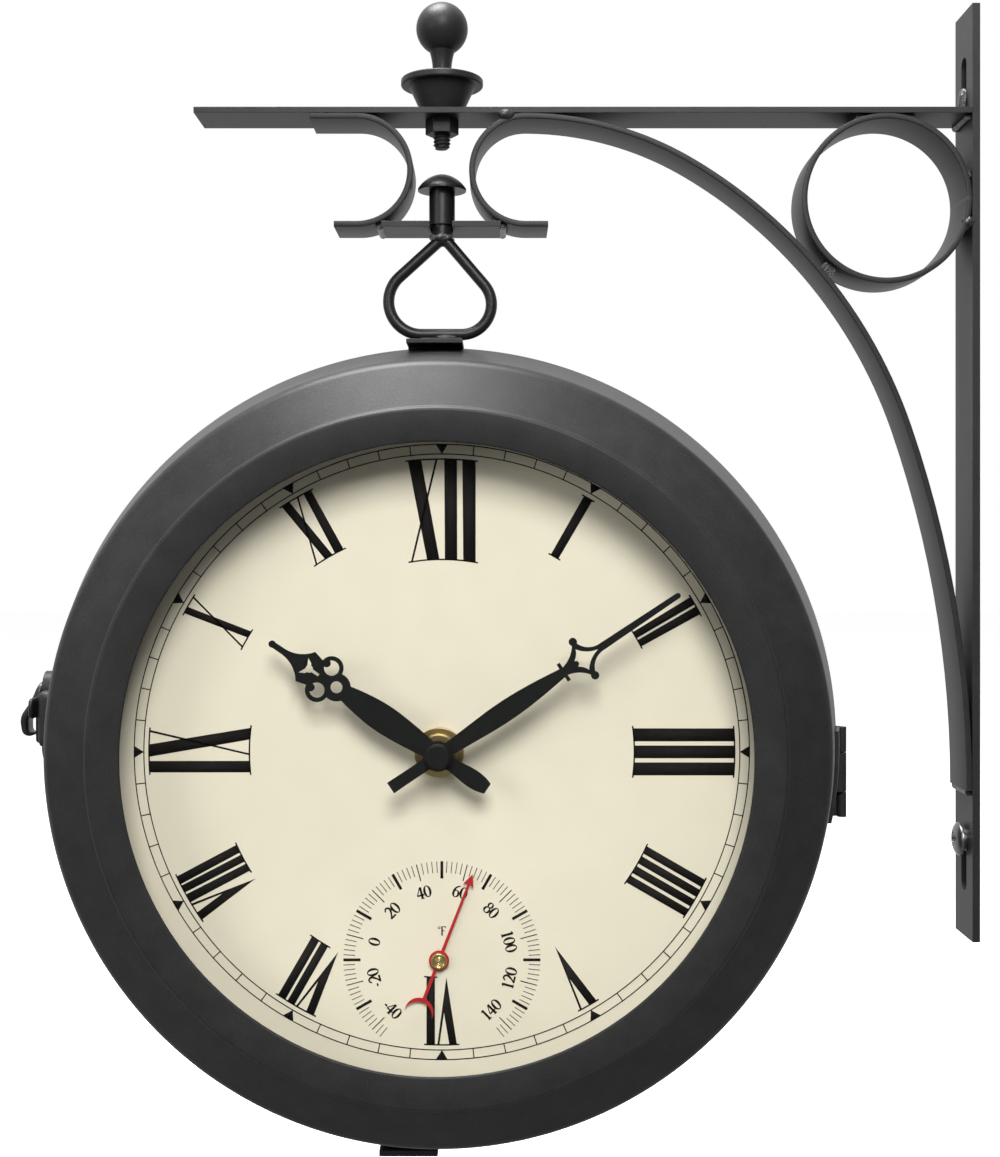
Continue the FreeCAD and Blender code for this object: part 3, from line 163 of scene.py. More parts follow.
def finish_of(name, shade, highlight, roughness, metallic=0.0, grain=0.6 * MM, depth=0.05 * MM,
              edge=STRAP_EDGE, painted_edge_highlight=0.5, fleck=0.0, coat=0.0, specular=0.5):
    """Coat or metal: colour runs from shade to highlight with the mottle, the flecks and a painted
    highlight along the edges, roughness moves a tenth with the grain, and grain and rounded
    corners set the normal."""
    material = bpy.data.materials.new(name)
    material.use_nodes = True
    nodes = material.node_tree.nodes
    link = material.node_tree.links.new
    shader = nodes["Principled BSDF"]
    powder = place_group(nodes, POWDER_GRAIN, Size=grain)
    rim = place_group(nodes, SOFT_EDGE, Radius=edge)
    part = maths(material.node_tree, "MULTIPLY", powder.outputs["Mottle"], MOTTLE_SHARE)
    speck = maths(material.node_tree, "MULTIPLY_ADD", powder.outputs["Fleck"], fleck, part)
    # The edge mask lightens the colour along every corner: a painted highlight where the edges catch
    # the light.
    share = maths(material.node_tree, "MULTIPLY_ADD", rim.outputs["Edge"], painted_edge_highlight, speck,
                  clamp=True)
    colour = nodes.new("ShaderNodeMix")
    colour.data_type = "RGBA"
    colour.inputs["A"].default_value = (*shade, 1.0)
    colour.inputs["B"].default_value = (*highlight, 1.0)
    link(share, colour.inputs["Factor"])
    link(colour.outputs["Result"], shader.inputs["Base Color"])
    rough = spread(material.node_tree, powder.outputs["Height"], roughness - 0.05,
                   roughness + 0.05)
    link(rough, shader.inputs["Roughness"])
    soft = nodes.new("ShaderNodeBevel")
    soft.samples = 4
    soft.inputs["Radius"].default_value = edge
    bump = nodes.new("ShaderNodeBump")
    bump.inputs["Strength"].default_value = 1.0
    bump.inputs["Distance"].default_value = depth
    link(powder.outputs["Height"], bump.inputs["Height"])
    link(soft.outputs["Normal"], bump.inputs["Normal"])
    link(bump.outputs["Normal"], shader.inputs["Normal"])
    shader.inputs["Metallic"].default_value = metallic
    shader.inputs["Coat Weight"].default_value = coat
    shader.inputs["Specular IOR Level"].default_value = specular
    return material


def dress(material, *names):
    """Gives CAD nodes a finish, in place of the plain one that they came with."""
    for name in names:
        held = frame["nodes"][name].data.materials
        held.clear()
        held.append(material)


charcoal = finish_of("charcoal_coat", (0.012, 0.012, 0.012), (0.05, 0.049, 0.048), 0.44,
                     fleck=0.35, specular=0.22)
dress(charcoal, "wall_bar")


# ---- top arm, brace, scrolls, lower arm and ring ----
# Flat strap 20 mm wide and 2 mm thick, bent cold round formers and welded edge to edge. The brace
# starts as the right-hand scroll and runs on in three widening bends to the wall bar.

STRAP_WIDTH = 20.0 * MM
STRAP_THICKNESS = 2.0 * MM
SCROLL_RADIUS = 19.5 * MM
SCROLL_OFFSET = 29.1 * MM
SCROLL_FOOT = 7.6 * MM
SCROLL_TOP_FOOT = 15.9 * MM
BRACE_BENDS = ((112.8 * MM, 30.5), (170.3 * MM, 40.5))
ARC_STEP = 1.5


def put_mesh(name, points, faces, closed=True):
    """Mesh object whose doubled points are merged, with faces outwards where it is closed, smooth
    across every edge flatter than 35 degrees."""
    mesh = bpy.data.meshes.new(name)
    mesh.from_pydata(np.asarray(points, float).reshape(-1, 3).tolist(), [],
                     [list(map(int, face)) for face in faces])
    form = bmesh.new()
    form.from_mesh(mesh)
    bmesh.ops.remove_doubles(form, verts=form.verts, dist=0.000001)
    if closed:
        bmesh.ops.recalc_face_normals(form, faces=form.faces)
    form.to_mesh(mesh)
    form.free()
    mesh.shade_smooth()
    mesh.set_sharp_from_angle(angle=math.radians(35))
    piece = bpy.data.objects.new(name, mesh)
    bpy.context.scene.collection.objects.link(piece)
    return piece


def set_on(piece, body, material, slot, *replaced):
    """Finish, body and the CAD nodes that a new piece stands for; the slot is not used."""
    piece.data.materials.append(material)
    if replaced:
        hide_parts(*replaced)
    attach(piece, body)
    return piece


def grid_faces(rows, columns, wrap_rows=False, wrap_columns=False):
    """Quads between neighbours of a grid of points, joined round where a direction wraps."""
    i = np.arange(rows if wrap_rows else rows - 1)[:, None]
    j = np.arange(columns if wrap_columns else columns - 1)[None, :]
    below, beside = (i + 1) % rows, (j + 1) % columns
    corners = [i * columns + j, i * columns + beside, below * columns + beside, below * columns + j]
    return np.stack(corners, axis=-1).reshape(-1, 4)


def walked(start, heading, steps):
    """Points and left-hand normals along runs and arcs: a step is a length and 0, or a radius and
    the degrees turned to the left, sampled every degree and a half of turn."""
    points, normals = [], []
    at = np.array(start, float)
    for size, turn in steps:
        share = np.linspace(0.0, 1.0, max(2, int(abs(turn) / ARC_STEP) + 2))
        first = math.radians(heading)
        now = first + math.radians(turn) * share
        if turn:
            side = math.copysign(size, turn)
            run = side * np.column_stack([np.sin(now) - math.sin(first),
                                          math.cos(first) - np.cos(now)])
        else:
            run = size * share[:, None] * np.array([math.cos(first), math.sin(first)])
        points.append(at + run)
        normals.append(np.column_stack([-np.sin(now), np.cos(now)]))
        at = points[-1][-1]
        heading += turn
    return np.vstack(points), np.vstack(normals)


def strap_section(thickness, width, corner=0.3 * MM):
    """Rounded rectangle: across from 0 to thickness, and half the width to each side of y = 0."""
    turn = np.radians(np.linspace(0.0, 90.0, 4))
    corners = [(thickness - corner, width / 2 - corner, 0.0), (corner, width / 2 - corner, 90.0),
               (corner, corner - width / 2, 180.0), (thickness - corner, corner - width / 2, 270.0)]
    marks = []
    for across, along, start in corners:
        angle = turn + math.radians(start)
        marks.append(np.column_stack([across + corner * np.cos(angle),
                                      along + corner * np.sin(angle)]))
    return np.vstack(marks)


def strap(name, path, thickness, body, replaced, wrap=False):
    """Strap section carried along a path in the bracket's plane, on the path's right-hand side:
    point = path - normal * across, with y = along."""
    points, normals = path
    section = strap_section(thickness, STRAP_WIDTH)
    across, along = section[:, 0][None, :], section[:, 1][None, :]
    x = points[:, 0][:, None] - normals[:, 0][:, None] * across
    z = points[:, 1][:, None] - normals[:, 1][:, None] * across
    grid = np.stack([x, np.broadcast_to(along, x.shape), z], axis=-1)
    rows, columns = x.shape
    faces = grid_faces(rows, columns, wrap_rows=wrap, wrap_columns=True).tolist()
    if not wrap:
        faces += [list(range(columns)), list(range((rows - 1) * columns, rows * columns))]
    piece = put_mesh(name, grid, faces)
    return set_on(piece, body, charcoal, "charcoal_coat", replaced)


bar_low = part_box("wall_bar")[0]
arm_low, arm_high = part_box("top_arm")
stud_low, stud_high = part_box("finial_stud")
clock_x = (stud_low.x + stud_high.x) / 2
arm_under = arm_low.z
lower_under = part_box("lower_arm")[0].z

fall = math.radians(sum(turn for _, turn in BRACE_BENDS))
reach = clock_x + SCROLL_OFFSET
passed = 0.0
for radius, turn in BRACE_BENDS:
    reach += radius * (math.sin(math.radians(passed + turn)) - math.sin(math.radians(passed)))
    passed += turn
landing = (bar_low.x - reach) / (1.0 - math.sin(fall))
brace_steps = [(SCROLL_FOOT, 0.0), (SCROLL_RADIUS, -180.0)]
brace_steps += [(radius, -turn) for radius, turn in BRACE_BENDS]
brace_steps += [(landing, math.degrees(fall) - 90.0)]
brace_start = (clock_x + SCROLL_OFFSET + SCROLL_FOOT, lower_under)
strap("brace_strap", walked(brace_start, 180.0, brace_steps), STRAP_THICKNESS, "bracket", "brace")

scroll_start = (clock_x - SCROLL_OFFSET - SCROLL_TOP_FOOT, arm_under)
scroll_steps = [(SCROLL_TOP_FOOT, 0.0), (SCROLL_RADIUS, -180.0), (SCROLL_FOOT, 0.0)]
strap("left_scroll_strap", walked(scroll_start, 0.0, scroll_steps), STRAP_THICKNESS, "bracket",
      "left_scroll")

ring_low, ring_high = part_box("corner_ring")
ring_radius = (ring_high.x - ring_low.x) / 2
ring_path = walked((ring_high.x, (ring_low.z + ring_high.z) / 2), -90.0, [(ring_radius, -360.0)])
strap("corner_ring_strap", ring_path, STRAP_THICKNESS, "bracket", "corner_ring")
dress(charcoal, "top_arm", "lower_arm")

# ---- wall screw ----
# A zinc-plated cross-head screw in the top of the lower slot, that holds the bar to the wall. It
# has a wide, low head on a short collar; only the part in the bar is made of its shank.

SCREW_RISE = 8.3 * MM
HEAD_RADIUS = 5.8 * MM
HEAD_HEIGHT = 2.0 * MM
RIM_HEIGHT = 0.5 * MM
COLLAR_RADIUS = 4.2 * MM
COLLAR_HEIGHT = 1.4 * MM
SHANK_RADIUS = 2.4 * MM
CROSS_HALF_WIDTH = 0.6 * MM
CROSS_REACH = 2.6 * MM
CROSS_DEPTH = 1.4 * MM
CROSS_TURN = 20.0


def cross_head(face, z):
    """Screw pointing into the wall, as rings of (radius, height off the bar): a dome of height
    H (1 - (r / R)^2)^0.6 on a thin rim, less a cross whose arms lie where one of the two turned
    coordinates u and v is small, then the collar and the shank."""
    share = np.linspace(0.0, 1.0, 40)
    base = COLLAR_HEIGHT + RIM_HEIGHT
    dome = np.column_stack([share * HEAD_RADIUS, base + HEAD_HEIGHT * (1.0 - share ** 2) ** 0.6])
    rest = [(HEAD_RADIUS, COLLAR_HEIGHT), (COLLAR_RADIUS, COLLAR_HEIGHT), (COLLAR_RADIUS, 0.0),
            (SHANK_RADIUS, 0.0), (SHANK_RADIUS, face), (0.0, face)]
    rings = np.vstack([dome, rest])
    turn = np.linspace(0.0, 2 * math.pi, 96, endpoint=False)[None, :]
    out, height = rings[:, :1], rings[:, 1:] * np.ones_like(turn)
    turned = turn + math.radians(CROSS_TURN)
    narrow = np.minimum(np.abs(out * np.cos(turned)), np.abs(out * np.sin(turned)))
    inside = np.clip(1.6 - narrow / CROSS_HALF_WIDTH, 0.0, 1.0)
    inside *= np.clip((CROSS_REACH - out) / (0.4 * MM), 0.0, 1.0)
    height[:len(dome)] -= CROSS_DEPTH * inside[:len(dome)]
    grid = np.stack([face - height, out * np.cos(turn), z + out * np.sin(turn)], axis=-1)
    return grid, grid_faces(len(rings), 96, wrap_columns=True)


screw_steel = finish_of("screw_steel", (0.10, 0.10, 0.10), (0.30, 0.30, 0.30), 0.3, metallic=0.9,
                        grain=0.9 * MM, depth=0.02 * MM, fleck=0.3)
slots_apart = next(mount["dims"]["spacing_y_mm"] for mount in frame["record"]["mounts"]
                   if mount["kind"] == "bolt_pattern") * MM
screw_points, screw_faces = cross_head(bar_low.x, SCREW_RISE - slots_apart / 2)
set_on(put_mesh("lower_wall_screw", screw_points, screw_faces), "bracket", screw_steel,
       "dark_steel")

# ---- weld beads ----
# Short beads of weld metal in the corners where the straps meet, coated with the bracket. They are
# lumpy, so their grain is coarse and deep.

weld = finish_of("weld_coat", (0.012, 0.012, 0.012), (0.08, 0.08, 0.08), 0.32, grain=1.6 * MM,
                 depth=0.6 * MM, fleck=0.3, specular=0.4)
dress(weld, "bracket_welds")

# ---- ball finial ----
# A turned steel ball on a short neck, in a pressed cup with a flat flange, held on the arm by a
# screwed stud with a nut underneath.


def spun_up(name, profile, steps, body, material, slot, *replaced):
    """Profile of radius and height turned about the clock's upright axis."""
    angle = np.linspace(0.0, 2 * math.pi, steps, endpoint=False)
    radius, height = profile[:, 0][:, None], profile[:, 1][:, None]
    x = clock_x + radius * np.cos(angle)
    grid = np.stack([x, radius * np.sin(angle), np.broadcast_to(height, x.shape)], axis=-1)
    piece = put_mesh(name, grid, grid_faces(len(profile), steps, wrap_columns=True))
    return set_on(piece, body, material, slot, *replaced)


def bent_line(points, bends):
    """Straight runs joined by tangent arcs, with left-hand normals. At a corner that turns by t an
    arc of radius r starts r * tan(t / 2) before it."""
    points = np.array(points, float)
    runs = np.diff(points, axis=0)
    length = np.hypot(runs[:, 0], runs[:, 1])
    heading = np.degrees(np.arctan2(runs[:, 1], runs[:, 0]))
    turn = (np.diff(heading) + 180.0) % 360.0 - 180.0
    cut = np.concatenate([[0.0], np.array(bends) * np.tan(np.radians(np.abs(turn)) / 2), [0.0]])
    steps = []
    for i in range(len(runs)):
        steps.append((length[i] - cut[i] - cut[i + 1], 0.0))
        if i < len(turn):
            steps.append((bends[i], turn[i]))
    return walked(points[0], heading[0], steps)


cup_low, cup_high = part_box("finial_cup")
ball_low, ball_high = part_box("finial_ball")
CUP_FOOT = 7.0 * MM
CUP_TOP = 11.5 * MM
FLANGE_THICKNESS = 2.5 * MM
flange_radius = (cup_high.x - cup_low.x) / 2
cup_outline = [(0.0, cup_low.z), (CUP_FOOT, cup_low.z), (CUP_TOP, cup_high.z - FLANGE_THICKNESS),
               (flange_radius, cup_high.z - FLANGE_THICKNESS), (flange_radius, cup_high.z),
               (0.0, cup_high.z)]
cup_profile = bent_line(cup_outline, [0.3 * MM, 0.5 * MM, 0.6 * MM, 0.6 * MM])[0]
spun_up("finial_cup_turned", cup_profile, 96, "bracket", charcoal, "charcoal_coat", "finial_cup")

ball_radius = (ball_high.x - ball_low.x) / 2
ball_middle = ball_high.z - ball_radius
NECK_TOP = 4.4 * MM
NECK_WAIST = 3.3 * MM
NECK_FOOT = 3.8 * MM


def waisted(low, high, bottom, waist, top, count=24):
    """Neck from its foot to the ball: radius is the waist plus the square of the way to either end,
    scaled so that it meets the bottom and the top radius. The waist is a third of the way up."""
    share = np.linspace(0.0, 1.0, count)
    down = np.clip(1.0 - 3.0 * share, 0.0, 1.0) ** 2
    up = np.clip((3.0 * share - 1.0) / 2.0, 0.0, 1.0) ** 2
    radius = waist + (bottom - waist) * down + (top - waist) * up
    return np.column_stack([radius, low + (high - low) * share])


meet = math.asin(NECK_TOP / ball_radius)
arc = np.linspace(math.pi - meet, 0.0, 48)
neck = waisted(ball_low.z, ball_middle - ball_radius * math.cos(meet), NECK_FOOT, NECK_WAIST,
               NECK_TOP)
ball_arc = np.column_stack([ball_radius * np.sin(arc), ball_middle + ball_radius * np.cos(arc)])
ball_profile = np.vstack([[(0.0, ball_low.z)], neck, ball_arc[1:]])
spun_up("finial_ball_turned", ball_profile, 96, "bracket", charcoal, "charcoal_coat",
        "finial_ball")
dark_steel = finish_of("dark_steel", (0.010, 0.010, 0.010), (0.06, 0.06, 0.06), 0.5,
                       fleck=0.2, specular=0.2)
dress(dark_steel, "finial_nut")

THREAD_PITCH = 1.25 * MM
THREAD_DEPTH = 0.6 * MM
THREAD_CREST = 3.05 * MM


def threaded_rod(name, x, y, low, high, radius, body, material, slot, *replaced):
    """Screw thread upright at (x, y): radius is R - D |2 frac(z / pitch - a / 2 pi) - 1|, less a
    bevel of one pitch at both ends."""
    turns, around_count = (high - low) / THREAD_PITCH, 48
    height = np.linspace(low, high, int(turns * 10))[:, None]
    angle = np.linspace(0.0, 2 * math.pi, around_count, endpoint=False)[None, :]
    phase = (height - low) / THREAD_PITCH - angle / (2 * math.pi)
    ridge = np.abs(2.0 * (phase % 1.0) - 1.0)
    end = np.clip(np.minimum(height - low, high - height) / THREAD_PITCH, 0.0, 1.0)
    wide = radius - THREAD_DEPTH * (ridge + 1.0 - end)
    grid = np.stack([x + wide * np.cos(angle), y + wide * np.sin(angle),
                     np.broadcast_to(height, wide.shape)], axis=-1)
    rows = len(height)
    faces = grid_faces(rows, around_count, wrap_columns=True).tolist()
    faces += [list(range(around_count)), list(range((rows - 1) * around_count, rows * around_count))]
    piece = put_mesh(name, grid, faces)
    return set_on(piece, body, material, slot, *replaced)


threaded_rod("finial_thread", clock_x, 0.0, stud_low.z, stud_high.z, THREAD_CREST, "bracket",
             dark_steel, "dark_steel", "finial_stud")

# ---- hanger ----
# A dome-headed pin stands on the lower arm with its neck in the notch. Under it a bent rod loop,
# enamelled black, is welded to a square foot on the saddle plate over the case.

ROD_RADIUS = 2.0 * MM
LOOP_APEX = (0.5 * MM, 1.7 * MM)
LOOP_APEX_BEND = 3.0 * MM
LOOP_LEFT = (-7.1 * MM, 11.5 * MM)
LOOP_RIGHT = (6.7 * MM, 10.5 * MM)


def touching(apex, centre, radius, side):
    """Length and heading of the line from apex that touches a circle, which lies on the line's left
    where side is 1: length = sqrt(away^2 - r^2), heading = bearing - side * asin(r / away)."""
    away = math.dist(apex, centre)
    bearing = math.atan2(centre[1] - apex[1], centre[0] - apex[0])
    return math.sqrt(away ** 2 - radius ** 2), math.degrees(bearing - side * math.asin(radius / away))


def rod(name, path, radius, around, body, material, slot, *replaced):
    """Round rod along a closed path in the bracket's plane: point = path + r cos(a) normal, with
    y = r sin(a)."""
    points, normals = path
    angle = np.linspace(0.0, 2 * math.pi, around, endpoint=False)[None, :]
    x = points[:, 0][:, None] + normals[:, 0][:, None] * radius * np.cos(angle)
    z = points[:, 1][:, None] + normals[:, 1][:, None] * radius * np.cos(angle)
    y = np.broadcast_to(radius * np.sin(angle), x.shape)
    grid = np.stack([x, y, z], axis=-1)
    faces = grid_faces(len(points), around, wrap_rows=True, wrap_columns=True)
    piece = put_mesh(name, grid, faces)
    return set_on(piece, body, material, slot, *replaced)


loop_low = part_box("hanger_loop")[0]
run_z = loop_low.z + ROD_RADIUS
apex = (clock_x + LOOP_APEX[0], lower_under - LOOP_APEX[1])
left = (clock_x + LOOP_LEFT[0], run_z + LOOP_LEFT[1])
right = (clock_x + LOOP_RIGHT[0], run_z + LOOP_RIGHT[1])
left_length, left_heading = touching(apex, left, LOOP_LEFT[1], 1)
right_length, right_heading = touching(apex, right, LOOP_RIGHT[1], -1)
left_heading, right_heading = left_heading % 360.0, right_heading % 360.0
apex_turn = abs(right_heading - left_heading - 180.0)
apex_cut = LOOP_APEX_BEND * math.tan(math.radians(apex_turn) / 2)
loop_steps = [(LOOP_RIGHT[0] - LOOP_LEFT[0], 0.0), (LOOP_RIGHT[1], right_heading - 180.0),
              (right_length - apex_cut, 0.0), (LOOP_APEX_BEND, apex_turn),
              (left_length - apex_cut, 0.0), (LOOP_LEFT[1], 360.0 - left_heading)]
gloss_black = finish_of("gloss_black_coat", (0.008, 0.008, 0.008), (0.02, 0.02, 0.02), 0.38,
                        grain=1.5 * MM, depth=0.05 * MM, specular=0.35)
rod("hanger_loop_rod", walked((left[0], run_z), 0.0, loop_steps), ROD_RADIUS, 32, "clock",
    gloss_black, "gloss_black_coat", "hanger_loop")
dress(gloss_black, "hanger_pin")
dress(charcoal, "loop_foot", "hanger_plate")

# ---- weld lumps ----
# Small lumps of weld metal: where the loop's sides meet the pin's neck, with bright specks painted
# on it as glints, where its flat run stands on the foot, one under the arm's front edge, one where
# the arm meets the wall bar and one where the ring does.

LUMP = 0.16


def weld_lump(name, centre, size, body, material, slot):
    """Ellipsoid whose reach is 1 + LUMP / 2 times the sine of the angle down times the sum of two
    waves: sin(3 across + 1) sin(4 down), and sin(5 across + 3 down)."""
    across = np.linspace(0.0, 2 * math.pi, 40, endpoint=False)[None, :]
    down = np.linspace(0.0, math.pi, 24)[:, None]
    swelling = np.sin(3 * across + 1.0) * np.sin(4 * down) + np.sin(5 * across + 3 * down)
    reach = 1.0 + LUMP * 0.5 * swelling * np.sin(down)
    grid = np.stack([centre[0] + size[0] * reach * np.sin(down) * np.cos(across),
                     centre[1] + size[1] * reach * np.sin(down) * np.sin(across),
                     centre[2] + size[2] * reach * np.cos(down) * np.ones_like(across)], axis=-1)
    return set_on(put_mesh(name, grid, grid_faces(24, 40, wrap_columns=True)), body, material, slot)


# Dense pale flecks on a bright highlight colour: painted glints on the weld at the pin's neck.
weld_painted_glints = finish_of("weld_painted_glints", (0.012, 0.012, 0.012), (0.35, 0.35, 0.35), 0.3, grain=1.1 * MM,
                      depth=0.5 * MM, fleck=0.9, specular=0.5)
weld_lump("neck_weld", (clock_x, 0.0, lower_under - 2.0 * MM), (4.3 * MM, 4.3 * MM, 1.6 * MM),
          "clock", weld_painted_glints, "gloss_black_coat")
weld_lump("foot_weld", (clock_x + 1.6 * MM, -1.6 * MM, loop_low.z + 0.7 * MM),
          (3.6 * MM, 1.6 * MM, 1.1 * MM), "clock", weld, "gloss_black_coat")
weld_lump("arm_weld", (clock_x + 22.5 * MM, -9.5 * MM, arm_under - 0.6 * MM),
          (2.8 * MM, 1.4 * MM, 1.9 * MM), "bracket", charcoal, "charcoal_coat")
weld_lump("arm_root_weld", (bar_low.x - 0.3 * MM, 0.0, arm_high.z + 3.6 * MM),
          (1.6 * MM, 3.6 * MM, 5.6 * MM), "bracket", weld, "charcoal_coat")
weld_lump("ring_weld", (bar_low.x - 1.0 * MM, -8.8 * MM, (ring_low.z + ring_high.z) / 2 - 8.0 * MM),
          (2.3 * MM, 1.8 * MM, 2.0 * MM), "bracket", weld, "charcoal_coat")

# ---- case ----
# Two shells spun from steel sheet on one former, meeting at a seam: a flat front ring with a small
# step, a sloping shoulder and a flared wall. A rolled band inside the rear one keeps them in line.

case_low, case_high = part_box("front_case")
clock_z = (case_low.z + case_high.z) / 2
rim_radius = (case_high.z - case_low.z) / 2
half_depth = -case_low.y
LIP_RADIUS = 101.6 * MM
FACE_RADIUS = 112.6 * MM
STEP = (0.7 * MM, 1.4 * MM)
SHOULDER_RADIUS = 129.2 * MM
SHOULDER_DEPTH = 11.4 * MM
SHEET = 1.2 * MM
SHELL_BENDS = (1.5 * MM, 1.0 * MM, 6.0 * MM)


def spun_case(profile, steps):
    """Profile of radius and depth turned about the clock's level axis: x = cx + r cos(a),
    z = cz + r sin(a), y = depth."""
    angle = np.linspace(0.0, 2 * math.pi, steps, endpoint=False)
    radius, depth = profile[:, 0][:, None], profile[:, 1][:, None]
    x = clock_x + radius * np.cos(angle)
    z = clock_z + radius * np.sin(angle)
    grid = np.stack([x, np.broadcast_to(depth, x.shape), z], axis=-1)
    return grid, grid_faces(len(profile), steps, wrap_rows=True, wrap_columns=True)


def to_rear(points):
    """Half a turn about the clock's upright axis: x becomes 2 cx - x, and y changes sign."""
    return np.asarray(points, float) * (-1.0, -1.0, 1.0) + (2 * clock_x, 0.0, 0.0)


shell_line = [(LIP_RADIUS, -half_depth), (FACE_RADIUS, -half_depth),
              (FACE_RADIUS + STEP[0], -half_depth + STEP[1]),
              (SHOULDER_RADIUS, -half_depth + SHOULDER_DEPTH), (rim_radius, case_high.y)]
outside, outward = bent_line(shell_line, SHELL_BENDS)
lip_round = np.radians(np.linspace(0.0, 180.0, 7))
lip_edge = np.column_stack([LIP_RADIUS + SHEET / 2 * (1.0 - np.sin(lip_round)),
                            -half_depth + SHEET / 2 * (1.0 + np.cos(lip_round))])
inside = (outside + outward * SHEET)[::-1]
shell_profile = np.vstack([lip_edge, outside[2:], inside[:-2]])
shell_grid, shell_faces = spun_case(shell_profile, 360)
front_shell = put_mesh("front_shell", shell_grid, shell_faces)
set_on(front_shell, "front_half", charcoal, "charcoal_coat", "front_case")
rear_shell = put_mesh("rear_shell", to_rear(shell_grid), shell_faces)
set_on(rear_shell, "clock", charcoal, "charcoal_coat", "rear_case")
dress(charcoal, "seam_band", "seam_tab")

# ---- hinge and latch ----
# A small leaf hinge on the seam at the wall side, and on the other side a stamped thumb latch that
# turns on a rivet over its base and the front shell's keeper.

THUMB = ((-1.2, 8.2), (-2.8, 1.4), (-7.2, -4.4), (-6.6, -10.6), (-3.5, -9.7))
THUMB_BENDS = (12.0 * MM, 5.0 * MM, 1.9 * MM)
THUMB_AT = (0.0, 0.12, 0.3, 0.6, 0.85, 1.0)
THUMB_HALF_THICKNESS = (0.8 * MM, 1.3 * MM, 1.8 * MM, 1.5 * MM, 1.2 * MM, 0.6 * MM)
THUMB_HALF_WIDTH = (2.6 * MM, 3.8 * MM, 4.5 * MM, 4.5 * MM, 4.2 * MM, 3.4 * MM)
LEVER_SHEET = 1.8 * MM
LEG_HALF_WIDTH = 3.5 * MM
LEG_THICKNESS = 3.0 * MM
HUB_RADIUS = 5.5 * MM
HUB_THICKNESS = 2.0 * MM
SQUARENESS = 0.55


def soft_bar(name, path, side, up, half_side, half_up, body, material, slot, *replaced):
    """Bar along a path: point = path + S side sgn(c) |c|^q + U up sgn(s) |s|^q, with c and s the
    cosine and sine round it and q the squareness. Both ends are domed."""
    path, side, up = (np.asarray(part, float) for part in (path, side, up))
    step = np.linalg.norm(np.diff(path, axis=0), axis=1)
    along = np.concatenate([[0.0], np.cumsum(step)])
    along /= along[-1]
    at = np.linspace(0.0, 1.0, 90)
    dense = np.column_stack([np.interp(at, along, path[:, i]) for i in range(3)])
    beside = np.column_stack([np.interp(at, along, side[:, i]) for i in range(3)])
    dome = np.sqrt(1.0 - np.abs(2.0 * at - 1.0) ** 12)
    wide, deep = np.interp(at, *half_side) * dome, np.interp(at, *half_up) * dome
    turn = np.linspace(0.0, 2 * math.pi, 36, endpoint=False)
    c, s = np.cos(turn), np.sin(turn)
    across, outward_share = np.sign(c) * np.abs(c) ** SQUARENESS, np.sign(s) * np.abs(s) ** SQUARENESS
    grid = (dense[:, None, :] + beside[:, None, :] * (wide[:, None] * across)[..., None]
            + up * (deep[:, None] * outward_share)[..., None])
    piece = put_mesh(name, grid, grid_faces(len(at), 36, wrap_columns=True))
    return set_on(piece, body, material, slot, *replaced)


base_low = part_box("latch_base")[0]
lever_low, lever_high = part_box("latch_lever")
rivet_low, rivet_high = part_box("latch_pivot")
latch_y = (rivet_low.y + rivet_high.y) / 2
latch_z = (rivet_low.z + rivet_high.z) / 2
thumb_points = [(base_low.x + u * MM, latch_z + v * MM) for u, v in THUMB]
thumb_line, thumb_normal = bent_line(thumb_points, THUMB_BENDS)
flat = np.full(len(thumb_line), latch_y)
soft_bar("latch_lever_thumb", np.column_stack([thumb_line[:, 0], flat, thumb_line[:, 1]]),
         np.column_stack([thumb_normal[:, 0], 0.0 * flat, thumb_normal[:, 1]]), (0.0, 1.0, 0.0),
         (THUMB_AT, THUMB_HALF_THICKNESS), (THUMB_AT, THUMB_HALF_WIDTH), "latch_thumb",
         gloss_black, "gloss_black_coat", "latch_lever")
for name, thickness, end, side in (
        ("leg", LEG_THICKNESS, (latch_y, lever_low.z), (0.0, 1.0, 0.0)),
        ("cam", LEVER_SHEET, (lever_low.y, latch_z), (0.0, 0.0, 1.0))):
    level = lever_high.x - thickness / 2
    soft_bar("latch_lever_" + name, [(level, latch_y, latch_z), (level, *end)], [side] * 2,
             (1.0, 0.0, 0.0), ((0.0, 1.0), (LEG_HALF_WIDTH,) * 2),
             ((0.0, 1.0), (thickness / 2,) * 2), "latch_thumb", gloss_black,
             "gloss_black_coat")
hub_turn = np.linspace(0.0, 2 * math.pi, 64, endpoint=False)
hub_rim = np.array(bent_line([(0.0, 0.0), (HUB_RADIUS, 0.0), (HUB_RADIUS, HUB_THICKNESS),
                              (0.0, HUB_THICKNESS)], [0.3 * MM, 0.8 * MM])[0])
disc = np.stack([np.broadcast_to(lever_high.x - hub_rim[:, 1:], (len(hub_rim), 64)),
                 latch_y + hub_rim[:, :1] * np.cos(hub_turn),
                 latch_z + hub_rim[:, :1] * np.sin(hub_turn)], axis=-1)
set_on(put_mesh("latch_lever_hub", disc, grid_faces(len(hub_rim), 64, wrap_columns=True)),
       "latch_thumb", gloss_black, "gloss_black_coat")

keeper_low, keeper_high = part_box("latch_keeper")
keeper_middle = [(keeper_low[i] + keeper_high[i]) / 2 for i in range(3)]
keeper_path = [(keeper_middle[0], keeper_middle[1], keeper_low.z),
               (keeper_middle[0], keeper_middle[1], keeper_high.z)]
soft_bar("latch_keeper_plate", keeper_path, [(1.0, 0.0, 0.0)] * 2, (0.0, 1.0, 0.0),
         ((0.0, 1.0), (keeper_high.x - keeper_middle[0],) * 2),
         ((0.0, 1.0), (keeper_high.y - keeper_middle[1],) * 2), "front_half", charcoal,
         "charcoal_coat", "latch_keeper")
dress(charcoal, "hinge_leaf_front", "hinge_leaf_rear", "latch_base")
dress(dark_steel, "hinge_pin", "latch_pivot")

